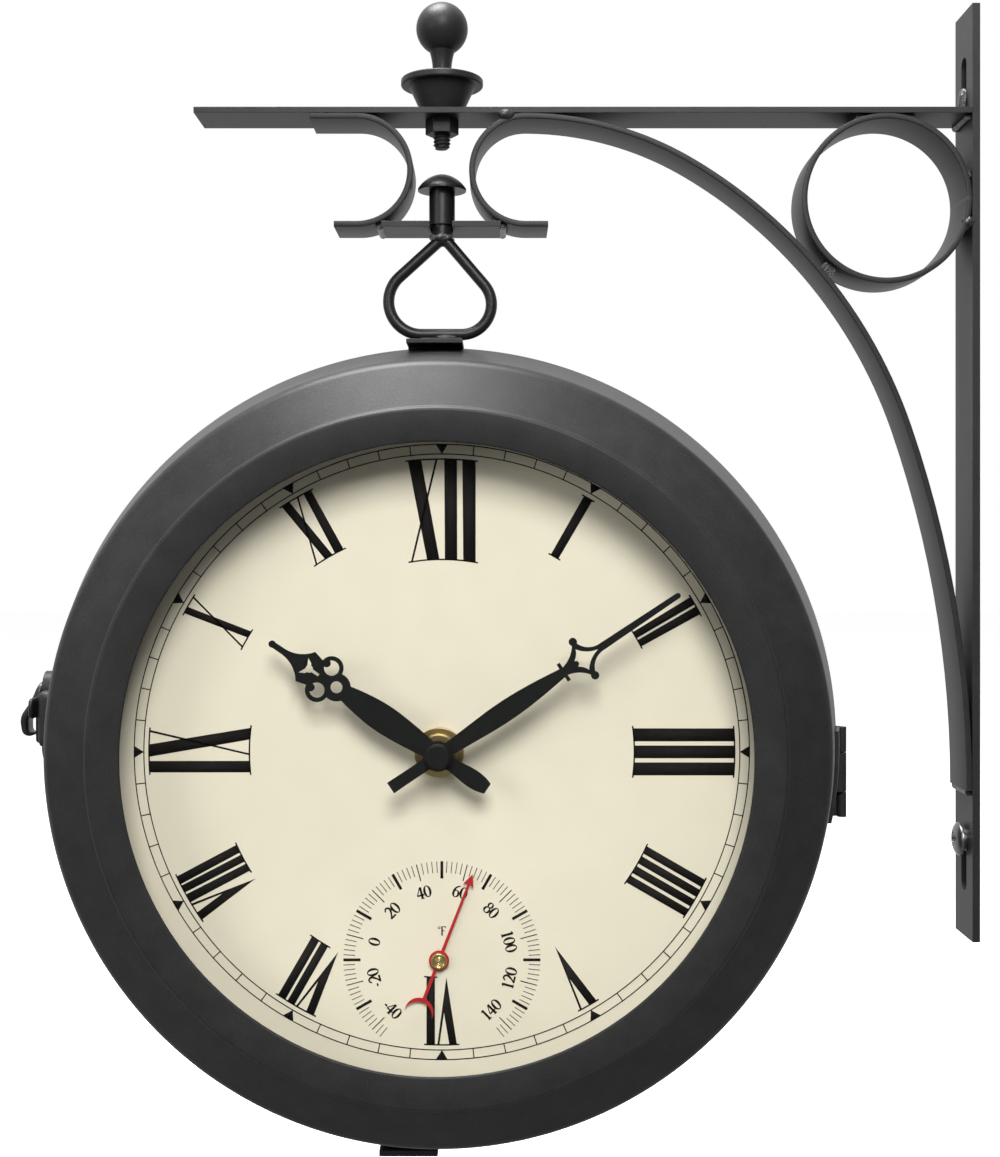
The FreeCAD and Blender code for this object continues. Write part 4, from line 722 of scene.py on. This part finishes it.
# ---- glass ----
# A flat disc of 2 mm clear glass behind the lip of each shell, bedded on a black rubber ring. Only
# what the camera sees in it is bent or mirrored: light for the dial passes straight through.


def clear_glass():
    """Glass that lets shadow, diffuse and glossy rays straight through: by the largest of these
    three marks of the ray, a mix of glass and plain transparency."""
    material = bpy.data.materials.new("clear_glass")
    material.use_nodes = True
    nodes = material.node_tree.nodes
    link = material.node_tree.links.new
    shader = nodes["Principled BSDF"]
    shader.inputs["Base Color"].default_value = (0.98, 0.99, 0.98, 1.0)
    shader.inputs["Roughness"].default_value = 0.0
    shader.inputs["IOR"].default_value = 1.2
    shader.inputs["Transmission Weight"].default_value = 1.0
    smear = nodes.new("ShaderNodeTexNoise")
    smear.inputs["Scale"].default_value = 25.0
    place = nodes.new("ShaderNodeTexCoord")
    link(place.outputs["Object"], smear.inputs["Vector"])
    rough = nodes.new("ShaderNodeMapRange")
    rough.inputs["From Min"].default_value = 0.45
    rough.inputs["To Max"].default_value = 0.02
    link(smear.outputs["Fac"], rough.inputs["Value"])
    link(rough.outputs["Result"], shader.inputs["Roughness"])
    passing = nodes.new("ShaderNodeBsdfTransparent")
    path = nodes.new("ShaderNodeLightPath")
    held = path.outputs["Is Shadow Ray"]
    for name in ("Is Diffuse Ray", "Is Glossy Ray"):
        held = maths(material.node_tree, "MAXIMUM", held, path.outputs[name])
    mix = nodes.new("ShaderNodeMixShader")
    link(held, mix.inputs[0])
    link(shader.outputs["BSDF"], mix.inputs[1])
    link(passing.outputs["BSDF"], mix.inputs[2])
    link(mix.outputs["Shader"], nodes["Material Output"].inputs["Surface"])
    return material


rubber = finish_of("black_rubber", (0.012, 0.012, 0.012), (0.03, 0.03, 0.03), 0.7, grain=0.4 * MM)
dress(clear_glass(), "front_glass", "rear_glass")
dress(rubber, "front_glass_ring", "rear_glass_ring")

# ---- dial ----
# A thin steel disc enamelled matt cream and printed in black: a ring of hollow minute boxes with a
# triangle at each hour, tall barred numerals that stand outwards, and a thermometer scale below.

PRINT_RAISE = 0.05 * MM
PRINT_SHIFT = 0.9 * MM
TRACK_INNER = 98.9 * MM
TRACK_OUTER = 102.1 * MM
TRACK_LINE = 0.36 * MM
NUMERAL_OUTER = 97.2 * MM
SHORT_INNER = 74.8 * MM
TALL_INNER = 63.9 * MM
SERIF = 0.5 * MM
SERIF_OVERHANG = 0.8 * MM
dial_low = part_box("front_dial")[0]
print_y = dial_low.y - PRINT_RAISE


def cream_enamel():
    """Matt cream whose tone drifts by a few hundredths, with a fine orange-peel surface."""
    material = bpy.data.materials.new("cream_enamel")
    material.use_nodes = True
    nodes = material.node_tree.nodes
    link = material.node_tree.links.new
    shader = nodes["Principled BSDF"]
    powder = place_group(nodes, POWDER_GRAIN, Size=0.9 * MM)
    colour = nodes.new("ShaderNodeMix")
    colour.data_type = "RGBA"
    colour.inputs["A"].default_value = (0.80, 0.74, 0.565, 1.0)
    colour.inputs["B"].default_value = (0.86, 0.80, 0.63, 1.0)
    link(powder.outputs["Mottle"], colour.inputs["Factor"])
    link(colour.outputs["Result"], shader.inputs["Base Color"])
    rough = spread(material.node_tree, powder.outputs["Height"], 0.55, 0.65)
    link(rough, shader.inputs["Roughness"])
    bump = nodes.new("ShaderNodeBump")
    bump.inputs["Distance"].default_value = 0.02 * MM
    link(powder.outputs["Height"], bump.inputs["Height"])
    link(bump.outputs["Normal"], shader.inputs["Normal"])
    return material


def dial_ink(name, shade, highlight):
    """Screen-printed ink: a flat dark tone with faint pinholes from a fine noise."""
    return finish_of(name, shade, highlight, 0.75, grain=0.35 * MM, depth=0.004 * MM,
                     edge=0.02 * MM, painted_edge_highlight=0.0, specular=0.1)


class Print:
    """Flat print of many small strips: points as (right, up) on the dial and the faces on them."""

    def __init__(self):
        self.points = []
        self.faces = []
        self.count = 0

    def add(self, points, faces):
        points = np.asarray(points, float).reshape(-1, 2)
        self.faces += (np.asarray(faces) + self.count).tolist()
        self.points.append(points)
        self.count += len(points)

    def polygon(self, points):
        self.add(points, [list(range(len(points)))])

    def ribbon(self, path, width, wrap=False):
        """Band along a path: path + and - half the width times the normal of its direction."""
        path = np.asarray(path, float)
        if wrap:
            run = np.roll(path, -1, axis=0) - np.roll(path, 1, axis=0)
        else:
            run = np.gradient(path, axis=0)
        normal = np.column_stack([-run[:, 1], run[:, 0]]) / np.hypot(run[:, 0], run[:, 1])[:, None]
        half = normal * np.broadcast_to(np.asarray(width, float) / 2, len(path))[:, None]
        self.add(np.stack([path + half, path - half], axis=1),
                 grid_faces(len(path), 2, wrap_rows=wrap))

    def lay(self, name, material):
        """Puts the print on the front dial, and a copy turned half round on the rear one. A thin
        Solidify closes it."""
        flat = np.vstack(self.points)
        front = np.column_stack([clock_x + PRINT_SHIFT + flat[:, 0], np.full(len(flat), print_y),
                                 clock_z + flat[:, 1]])
        for side, points, body in (("front", front, "front_half"), ("rear", to_rear(front), "clock")):
            piece = put_mesh(side + "_" + name, points, self.faces, closed=False)
            skin = piece.modifiers.new("ink", "SOLIDIFY")
            skin.thickness = 0.03 * MM
            skin.offset = 0.0
            set_on(piece, body, material, "cream_enamel")


def around(points, hour):
    """Turns points that stand at twelve clockwise to an hour."""
    angle = -math.radians(30.0 * hour)
    turn = np.array([[math.cos(angle), math.sin(angle)], [-math.sin(angle), math.cos(angle)]])
    return np.asarray(points, float) @ turn


def on_ring(across, radius):
    """Point at a distance across from the middle of a numeral, on a circle about the dial."""
    across = np.asarray(across, float)
    return np.stack([across, np.sqrt(radius ** 2 - across ** 2)], axis=-1)


def arc_of(radius, start, end, steps):
    """Points on a circle between two clockwise angles in degrees."""
    angle = np.radians(np.linspace(start, end, steps))
    return np.column_stack([radius * np.sin(angle), radius * np.cos(angle)])


black_ink = dial_ink("black_ink", (0.010, 0.009, 0.008), (0.020, 0.018, 0.016))
grey_ink = dial_ink("grey_ink", (0.12, 0.11, 0.08), (0.17, 0.16, 0.11))
dress(cream_enamel(), "front_dial", "rear_dial")

track = Print()
for radius in (TRACK_INNER, TRACK_OUTER):
    track.ribbon(arc_of(radius, 0.0, 360.0, 361)[:-1], TRACK_LINE, wrap=True)
for minute in range(60):
    tick = np.array([(0.0, TRACK_INNER), (0.0, TRACK_OUTER)])
    track.ribbon(around(tick, minute / 5), TRACK_LINE)
for hour in range(12):
    mark = [(-2.0 * MM, TRACK_OUTER), (2.0 * MM, TRACK_OUTER), (0.0, TRACK_INNER)]
    track.polygon(around(mark, hour))
track.lay("minute_track", black_ink)

# Each stroke of a numeral is given by where its sides cross the outer and the inner circle, in
# millimetres to the right of the numeral's middle. A V has a third pair, its point and its notch.
NUMERALS = {
    12: (TALL_INNER, [(-11.3, -6.9, -4.9, -0.8), (-2.1, -1.4, -10.3, -9.6), (0.8, 5.0, 1.0, 5.1),
                      (6.8, 11.2, 7.1, 11.2)], []),
    1: (SHORT_INNER, [(-1.6, 1.6, -1.45, 1.45)], []),
    2: (SHORT_INNER, [(-3.3, -0.4, -2.75, -0.35), (0.3, 3.3, 0.35, 2.8)], []),
    3: (TALL_INNER, [(-7.8, -3.5, -7.8, -3.5), (-2.1, 2.1, -2.1, 2.1), (3.5, 7.8, 3.5, 7.8)], []),
    4: (SHORT_INNER, [(-6.9, -4.2, -6.9, -4.2), (-3.2, -0.5, -3.2, -0.5), (0.5, 3.2, 0.5, 3.2),
                      (4.2, 6.9, 4.2, 6.9)], []),
    5: (SHORT_INNER, [], [(-3.2, -0.4, 2.4, 3.1, -0.2, 0.9)]),
    6: (SHORT_INNER, [(2.3, 5.1, 2.3, 5.1)], [(-5.0, -2.5, 0.8, 1.5, -1.5, -0.7)]),
    7: (SHORT_INNER, [(0.4, 3.1, 0.4, 3.1), (3.9, 6.8, 3.9, 6.7)],
        [(-6.9, -4.1, -0.9, -0.2, -3.4, -2.5)]),
    8: (SHORT_INNER, [(-1.5, 1.5, -2.3, 0.4), (2.2, 4.8, 1.2, 3.8), (5.3, 8.2, 4.6, 7.4)],
        [(-8.4, -5.5, -2.8, -2.0, -5.5, -4.3)]),
    9: (TALL_INNER, [(-6.8, -3.0, -6.8, -3.0), (-1.6, 2.5, 4.1, 8.0), (6.6, 7.3, -1.1, -0.5)], []),
    10: (SHORT_INNER, [(-2.9, -0.5, 0.6, 3.0), (2.9, 3.5, -3.2, -2.6)], []),
    11: (SHORT_INNER, [(-5.4, -2.4, -1.6, 1.3), (0.5, 1.1, -5.2, -4.6), (3.0, 5.8, 2.2, 5.4)], []),
}
NOTCH_RADIUS = 86.6 * MM


def add_serif(ink, hour, start, end, radius):
    across = np.linspace(start - SERIF_OVERHANG, end + SERIF_OVERHANG, 12)
    ink.ribbon(around(on_ring(across, radius), hour), SERIF)


numerals = Print()
for hour, (inner, bars, vees) in NUMERALS.items():
    outer_sides, inner_sides = [], []
    for bar in bars:
        a, b, c, d = np.array(bar) * MM
        corners = np.vstack([on_ring([a, b], NUMERAL_OUTER), on_ring([d, c], inner)])
        numerals.polygon(around(corners, hour))
        outer_sides += [a, b]
        inner_sides += [c, d]
    for vee in vees:
        a, b, c, d, point, notch = np.array(vee) * MM
        top = on_ring([a, b, c, d], NUMERAL_OUTER)
        tip = on_ring([point], inner)
        hollow = on_ring([notch], NOTCH_RADIUS)
        numerals.polygon(around(np.vstack([top[0], top[1], hollow[0], tip[0]]), hour))
        numerals.polygon(around(np.vstack([top[2], top[3], tip[0], hollow[0]]), hour))
        outer_sides += [a, d]
    add_serif(numerals, hour, min(outer_sides), max(outer_sides), NUMERAL_OUTER)
    if inner_sides:
        add_serif(numerals, hour, min(inner_sides), max(inner_sides), inner)
numerals.lay("numerals", black_ink)

# ---- thermometer scale ----
# Printed on the same dial round the bimetal pointer: a tick every 2 degrees at 1.5 degrees of turn
# each, long ones every 20, thick ones half way between, and the tens in a plain serif figure.

THERMO_TICK = (28.9 * MM, 32.7 * MM)
THERMO_LONG_TICK = (27.0 * MM, 32.7 * MM)
FIGURE_RADIUS = 23.2 * MM
FIGURE_HEIGHT = 4.1 * MM
INK_SPREAD = 1.3
TURN_PER_DEGREE = 1.5
TOP_READING = 50
thermo_low, thermo_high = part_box("front_thermo_hub")
thermo_drop = clock_z - (thermo_low.z + thermo_high.z) / 2


def reading_angle(reading):
    return (reading - TOP_READING) * TURN_PER_DEGREE


def scale_tick(ink, reading, span, width):
    angle = math.radians(reading_angle(reading))
    way = np.array([math.sin(angle), math.cos(angle)])
    ink.ribbon(np.array([way * span[0], way * span[1]]) + (0.0, -thermo_drop), width)


def loop_of(x, y, across, up, start=0.0, end=360.0):
    """Part of an ellipse about (x, y), between two angles from the right, to the left."""
    angle = np.radians(np.linspace(start, end, 25))
    return np.column_stack([x + across * np.cos(angle), y + up * np.sin(angle)])


def swell(count, thin, thick):
    """Stroke width that is thick on the sides of a bowl and thin at its top and bottom."""
    angle = np.linspace(0.0, 2 * math.pi, count)
    return thin + (thick - thin) * np.cos(angle) ** 2


FIGURES = {
    "0": [(loop_of(0.0, 0.0, 0.23, 0.45), swell(25, 0.06, 0.15))],
    "1": [([(0.0, -0.46), (0.0, 0.46)], 0.14), ([(-0.16, -0.47), (0.16, -0.47)], 0.06),
          ([(-0.17, 0.34), (0.0, 0.46)], 0.06)],
    "2": [(np.vstack([loop_of(0.0, 0.21, 0.21, 0.25, 165.0, -25.0), [(-0.02, -0.22), (-0.26, -0.44)]]),
           np.concatenate([np.linspace(0.08, 0.14, 25), [0.1, 0.05]])),
          ([(-0.27, -0.42), (0.27, -0.42)], 0.12)],
    "4": [([(0.1, -0.46), (0.1, 0.47)], 0.14), ([(0.06, 0.46), (-0.28, -0.17)], 0.06),
          ([(-0.3, -0.19), (0.28, -0.19)], 0.1), ([(-0.04, -0.47), (0.24, -0.47)], 0.05)],
    "6": [(loop_of(0.0, -0.18, 0.21, 0.27), swell(25, 0.06, 0.14)),
          (loop_of(0.26, -0.14, 0.47, 0.61, 172.0, 93.0), np.linspace(0.14, 0.06, 25))],
    "8": [(loop_of(0.0, 0.24, 0.18, 0.21), swell(25, 0.06, 0.12)),
          (loop_of(0.0, -0.22, 0.22, 0.24), swell(25, 0.06, 0.14))],
    "-": [([(-0.12, -0.12), (0.12, -0.12)], 0.1)],
    "F": [([(-0.15, -0.46), (-0.15, 0.46)], 0.12), ([(-0.26, -0.47), (-0.03, -0.47)], 0.05),
          ([(-0.26, 0.46), (0.26, 0.46)], 0.06), ([(0.25, 0.47), (0.25, 0.28)], 0.05),
          ([(-0.15, 0.02), (0.14, 0.02)], 0.06)],
    "o": [(loop_of(0.0, 0.34, 0.11, 0.12), np.full(25, 0.05))],
}
ADVANCE = {"1": 0.5, "-": 0.36, "o": 0.34}


def figures(ink, word, centre, turn, height):
    """Lays figures side by side about a centre, turned clockwise by degrees."""
    steps = np.array([ADVANCE.get(mark, 0.6) for mark in word])
    places = np.cumsum(steps) - steps / 2 - steps.sum() / 2
    for mark, place in zip(word, places):
        for path, width in FIGURES[mark]:
            moved = (np.asarray(path, float) + (place, 0.0)) * height
            ink.ribbon(around(moved, turn / 30.0) + centre,
                       INK_SPREAD * np.asarray(width) * height)


fine_scale, bold_scale = Print(), Print()
for reading in range(-44, 146, 2):
    if (reading - TOP_READING) % 20 and reading % 20:
        scale_tick(fine_scale, reading, THERMO_TICK, 0.28 * MM)
for reading in range(-40, 141, 20):
    scale_tick(bold_scale, reading, THERMO_LONG_TICK, 0.32 * MM)
    angle = reading_angle(reading)
    way = np.array([math.sin(math.radians(angle)), math.cos(math.radians(angle))])
    flipped = reading in (-40, 120, 140)
    figures(bold_scale, str(reading), way * FIGURE_RADIUS + (0.0, -thermo_drop),
            angle + (180.0 if flipped else 0.0), FIGURE_HEIGHT)
for reading in range(-30, 131, 20):
    scale_tick(bold_scale, reading, THERMO_LONG_TICK, 0.95 * MM)
figures(bold_scale, "oF", np.array([0.0, 9.6 * MM - thermo_drop]), 0.0, 3.0 * MM)
fine_scale.lay("scale_fine", grey_ink)
bold_scale.lay("scale_bold", black_ink)

# ---- movement ----
# A bought-in quartz movement in a black moulded box behind each dial, with its battery, sprung
# contacts and setting knob. The dial is screwed to four zinc-plated tabs inside the shell.

moulding = finish_of("movement_plastic", (0.012, 0.012, 0.013), (0.03, 0.03, 0.03), 0.5,
                     grain=0.3 * MM, depth=0.02 * MM)
zinc = finish_of("zinc_steel", (0.42, 0.42, 0.41), (0.6, 0.6, 0.58), 0.34, metallic=1.0,
                 grain=1.2 * MM, depth=0.02 * MM)
jacket = finish_of("battery_jacket", (0.03, 0.05, 0.09), (0.05, 0.08, 0.13), 0.35,
                   grain=2.0 * MM, depth=0.01 * MM)
contact = finish_of("spring_contact", (0.55, 0.54, 0.5), (0.7, 0.69, 0.66), 0.22, metallic=1.0,
                    grain=1.0 * MM, depth=0.01 * MM)
bimetal = finish_of("bimetal_strip", (0.35, 0.26, 0.14), (0.5, 0.4, 0.25), 0.35, metallic=1.0,
                    grain=0.8 * MM, depth=0.01 * MM)
for side in ("front_", "rear_"):
    dress(moulding, side + "movement", side + "setting_knob")
    dress(zinc, side + "dial_tabs", side + "dial_screws", side + "thermo_cup")
    dress(jacket, side + "battery")
    dress(contact, side + "battery_contacts")
    dress(bimetal, side + "thermo_coil")

# ---- hands and thermometer pointer ----
# Hands stamped from thin sheet and painted matt black, on the movement's pipe and arbor over a
# brass nut and washer. The pointer is red, under a small brass hub.

hand_black = finish_of("hand_black", (0.005, 0.006, 0.005), (0.012, 0.013, 0.012), 0.5,
                       grain=0.5 * MM, depth=0.01 * MM, edge=0.15 * MM, specular=0.12)
brass = finish_of("polished_brass", (0.46, 0.34, 0.13), (0.66, 0.52, 0.26), 0.3, metallic=1.0,
                  grain=0.7 * MM, depth=0.008 * MM)
pointer_red = finish_of("pointer_red", (0.42, 0.010, 0.012), (0.55, 0.02, 0.02), 0.38,
                        grain=0.4 * MM, depth=0.01 * MM, edge=0.1 * MM)
for side in ("front_", "rear_"):
    dress(hand_black, side + "hour_hand", side + "minute_hand", side + "hand_cap")
    dress(brass, side + "shaft_nut")
    dress(pointer_red, side + "thermo_pointer")

HUB_RINGS = 5
HUB_RING_DEPTH = 0.07 * MM
HUB_RIM = 0.35 * MM


def hub_profile(radius, back, front):
    """Turned face of the hub: depth is the front plus a fine wave of HUB_RINGS ridges along the
    radius, inside a rim that stands one and a half ridges proud, with a bevelled edge."""
    share = np.linspace(0.0, 1.0, 60)
    out = share * radius
    wave = HUB_RING_DEPTH * (1.0 + np.cos(2 * math.pi * HUB_RINGS * share))
    rim = np.clip((out - radius + 3 * HUB_RIM) / HUB_RIM, 0.0, 1.0) * 3 * HUB_RING_DEPTH
    bevel = np.clip((out - radius + HUB_RIM) / HUB_RIM, 0.0, 1.0) ** 2 * HUB_RIM
    face = front + 3 * HUB_RING_DEPTH + wave * (rim == 0.0) - rim + bevel
    edge = [(radius, back), (0.0, back)]
    return np.vstack([np.column_stack([out, face]), edge])


thermo_z = (thermo_low.z + thermo_high.z) / 2
hub_line = hub_profile((thermo_high.x - thermo_low.x) / 2, thermo_high.y, thermo_low.y)
angle = np.linspace(0.0, 2 * math.pi, 72, endpoint=False)
hub_grid = np.stack([clock_x + hub_line[:, :1] * np.cos(angle),
                     np.broadcast_to(hub_line[:, 1:], (len(hub_line), 72)),
                     thermo_z + hub_line[:, :1] * np.sin(angle)], axis=-1)
hub_faces = grid_faces(len(hub_line), 72, wrap_columns=True)
for side, points in (("front", hub_grid), ("rear", to_rear(hub_grid))):
    hub = put_mesh(side + "_turned_hub", points, hub_faces)
    set_on(hub, side + "_thermo", brass, "polished_brass", side + "_thermo_hub")

# ---- stage, lamps and camera ----
# A pale floor under the hanging clock and a white surround, lit softly from above and the front,
# and seen straight on from half a metre.

FLOOR_DROP = 60.0 * MM
FLOOR_HALF_SIDE = 6.0
PAPER_GLOW = 0.75


def white_rays(tree, path, along_y):
    """Share of white for a ray: 1 for a camera or transmission ray, and for a glossy ray a share
    that rises from 0.08 in front of the clock to 1 behind it, where the white paper hangs."""
    behind = tree.nodes.new("ShaderNodeMapRange")
    behind.inputs["From Min"].default_value = -0.25
    behind.inputs["From Max"].default_value = 0.35
    behind.inputs["To Min"].default_value = 0.08
    tree.links.new(along_y, behind.inputs["Value"])
    held = maths(tree, "MULTIPLY", behind.outputs["Result"], path.outputs["Is Glossy Ray"])
    for name in ("Is Camera Ray", "Is Transmission Ray"):
        held = maths(tree, "MAXIMUM", held, path.outputs[name])
    return held


def y_of(tree, vector):
    split = tree.nodes.new("ShaderNodeSeparateXYZ")
    tree.links.new(vector, split.inputs["Vector"])
    return split.outputs["Y"]


def pale_floor(height):
    """Plane that the camera sees as lit paper: diffuse light plus a steady glow for white rays. To
    light that bounces on from it, it is grey, so that it doesn't light the clock from below."""
    corners = [(u * FLOOR_HALF_SIDE, v * FLOOR_HALF_SIDE, height)
               for u, v in ((-1, -1), (1, -1), (1, 1), (-1, 1))]
    floor = put_mesh("floor", corners, [[0, 1, 2, 3]], closed=False)
    material = bpy.data.materials.new("floor_paper")
    material.use_nodes = True
    nodes = material.node_tree.nodes
    link = material.node_tree.links.new
    shader = nodes["Principled BSDF"]
    shader.inputs["Roughness"].default_value = 0.8
    path = nodes.new("ShaderNodeLightPath")
    paper = nodes.new("ShaderNodeMix")
    paper.data_type = "RGBA"
    paper.inputs["A"].default_value = (0.85, 0.85, 0.85, 1.0)
    paper.inputs["B"].default_value = (0.06, 0.06, 0.06, 1.0)
    bounced = maths(material.node_tree, "MAXIMUM", path.outputs["Is Diffuse Ray"],
                    path.outputs["Is Glossy Ray"])
    link(bounced, paper.inputs["Factor"])
    link(paper.outputs["Result"], shader.inputs["Base Color"])
    place = nodes.new("ShaderNodeTexCoord")
    along_y = y_of(material.node_tree, place.outputs["Object"])
    seen = white_rays(material.node_tree, path, along_y)
    glow = maths(material.node_tree, "MULTIPLY", seen, PAPER_GLOW)
    shader.inputs["Emission Color"].default_value = (1.0, 1.0, 1.0, 1.0)
    link(glow, shader.inputs["Emission Strength"])
    floor.data.materials.append(material)


pale_floor(cad_box[0][2] - FLOOR_DROP)

world = bpy.data.worlds.new("surround")
bpy.context.scene.world = world
world.use_nodes = True
sky = world.node_tree.nodes
sky_link = world.node_tree.links.new
ambient = sky["Background"]
ambient.inputs["Color"].default_value = (1.0, 1.0, 1.0, 1.0)
ambient.inputs["Strength"].default_value = 0.2
white = sky.new("ShaderNodeBackground")
white.inputs["Color"].default_value = (1.0, 1.0, 1.0, 1.0)
white.inputs["Strength"].default_value = 1.0
ray = sky.new("ShaderNodeLightPath")
heading = sky.new("ShaderNodeTexCoord")
direct = white_rays(world.node_tree, ray, y_of(world.node_tree, heading.outputs["Generated"]))
blend = sky.new("ShaderNodeMixShader")
sky_link(direct, blend.inputs[0])
sky_link(ambient.outputs["Background"], blend.inputs[1])
sky_link(white.outputs["Background"], blend.inputs[2])
sky_link(blend.outputs["Shader"], sky["World Output"].inputs["Surface"])


def soft_lamp(name, place, aim, size, power):
    """Square area lamp at a place, turned to face its aim."""
    data = bpy.data.lights.new(name, "AREA")
    data.size = size
    data.energy = power
    lamp = bpy.data.objects.new(name, data)
    bpy.context.scene.collection.objects.link(lamp)
    lamp.location = place
    way = np.array(aim) - np.array(place)
    level = math.hypot(way[0], way[1])
    lamp.rotation_euler = (math.atan2(level, -way[2]), 0.0, math.atan2(-way[0], way[1]))
    return lamp


middle = (clock_x, 0.0, clock_z)
soft_lamp("key_lamp", (-0.1, -1.5, 0.85), middle, 0.7, 27.0)
soft_lamp("left_fill", (-1.4, -1.2, 0.3), middle, 0.6, 5.5)
soft_lamp("top_lamp", (-0.35, -0.02, 1.0), middle, 0.5, 30.0)

EYE = (-164.3 * MM, -540.0 * MM, -26.5 * MM)
camera_data = bpy.data.cameras.new("camera")
camera_data.lens = 48.2
camera_data.sensor_width = 36.0
camera_data.shift_y = -0.0246
camera_data.clip_start = 0.01
camera = bpy.data.objects.new("camera", camera_data)
bpy.context.scene.collection.objects.link(camera)
camera.location = EYE
camera.rotation_euler = (math.radians(90.0), 0.0, 0.0)
bpy.context.scene.camera = camera

bpy.context.scene.view_settings.view_transform = "Standard"
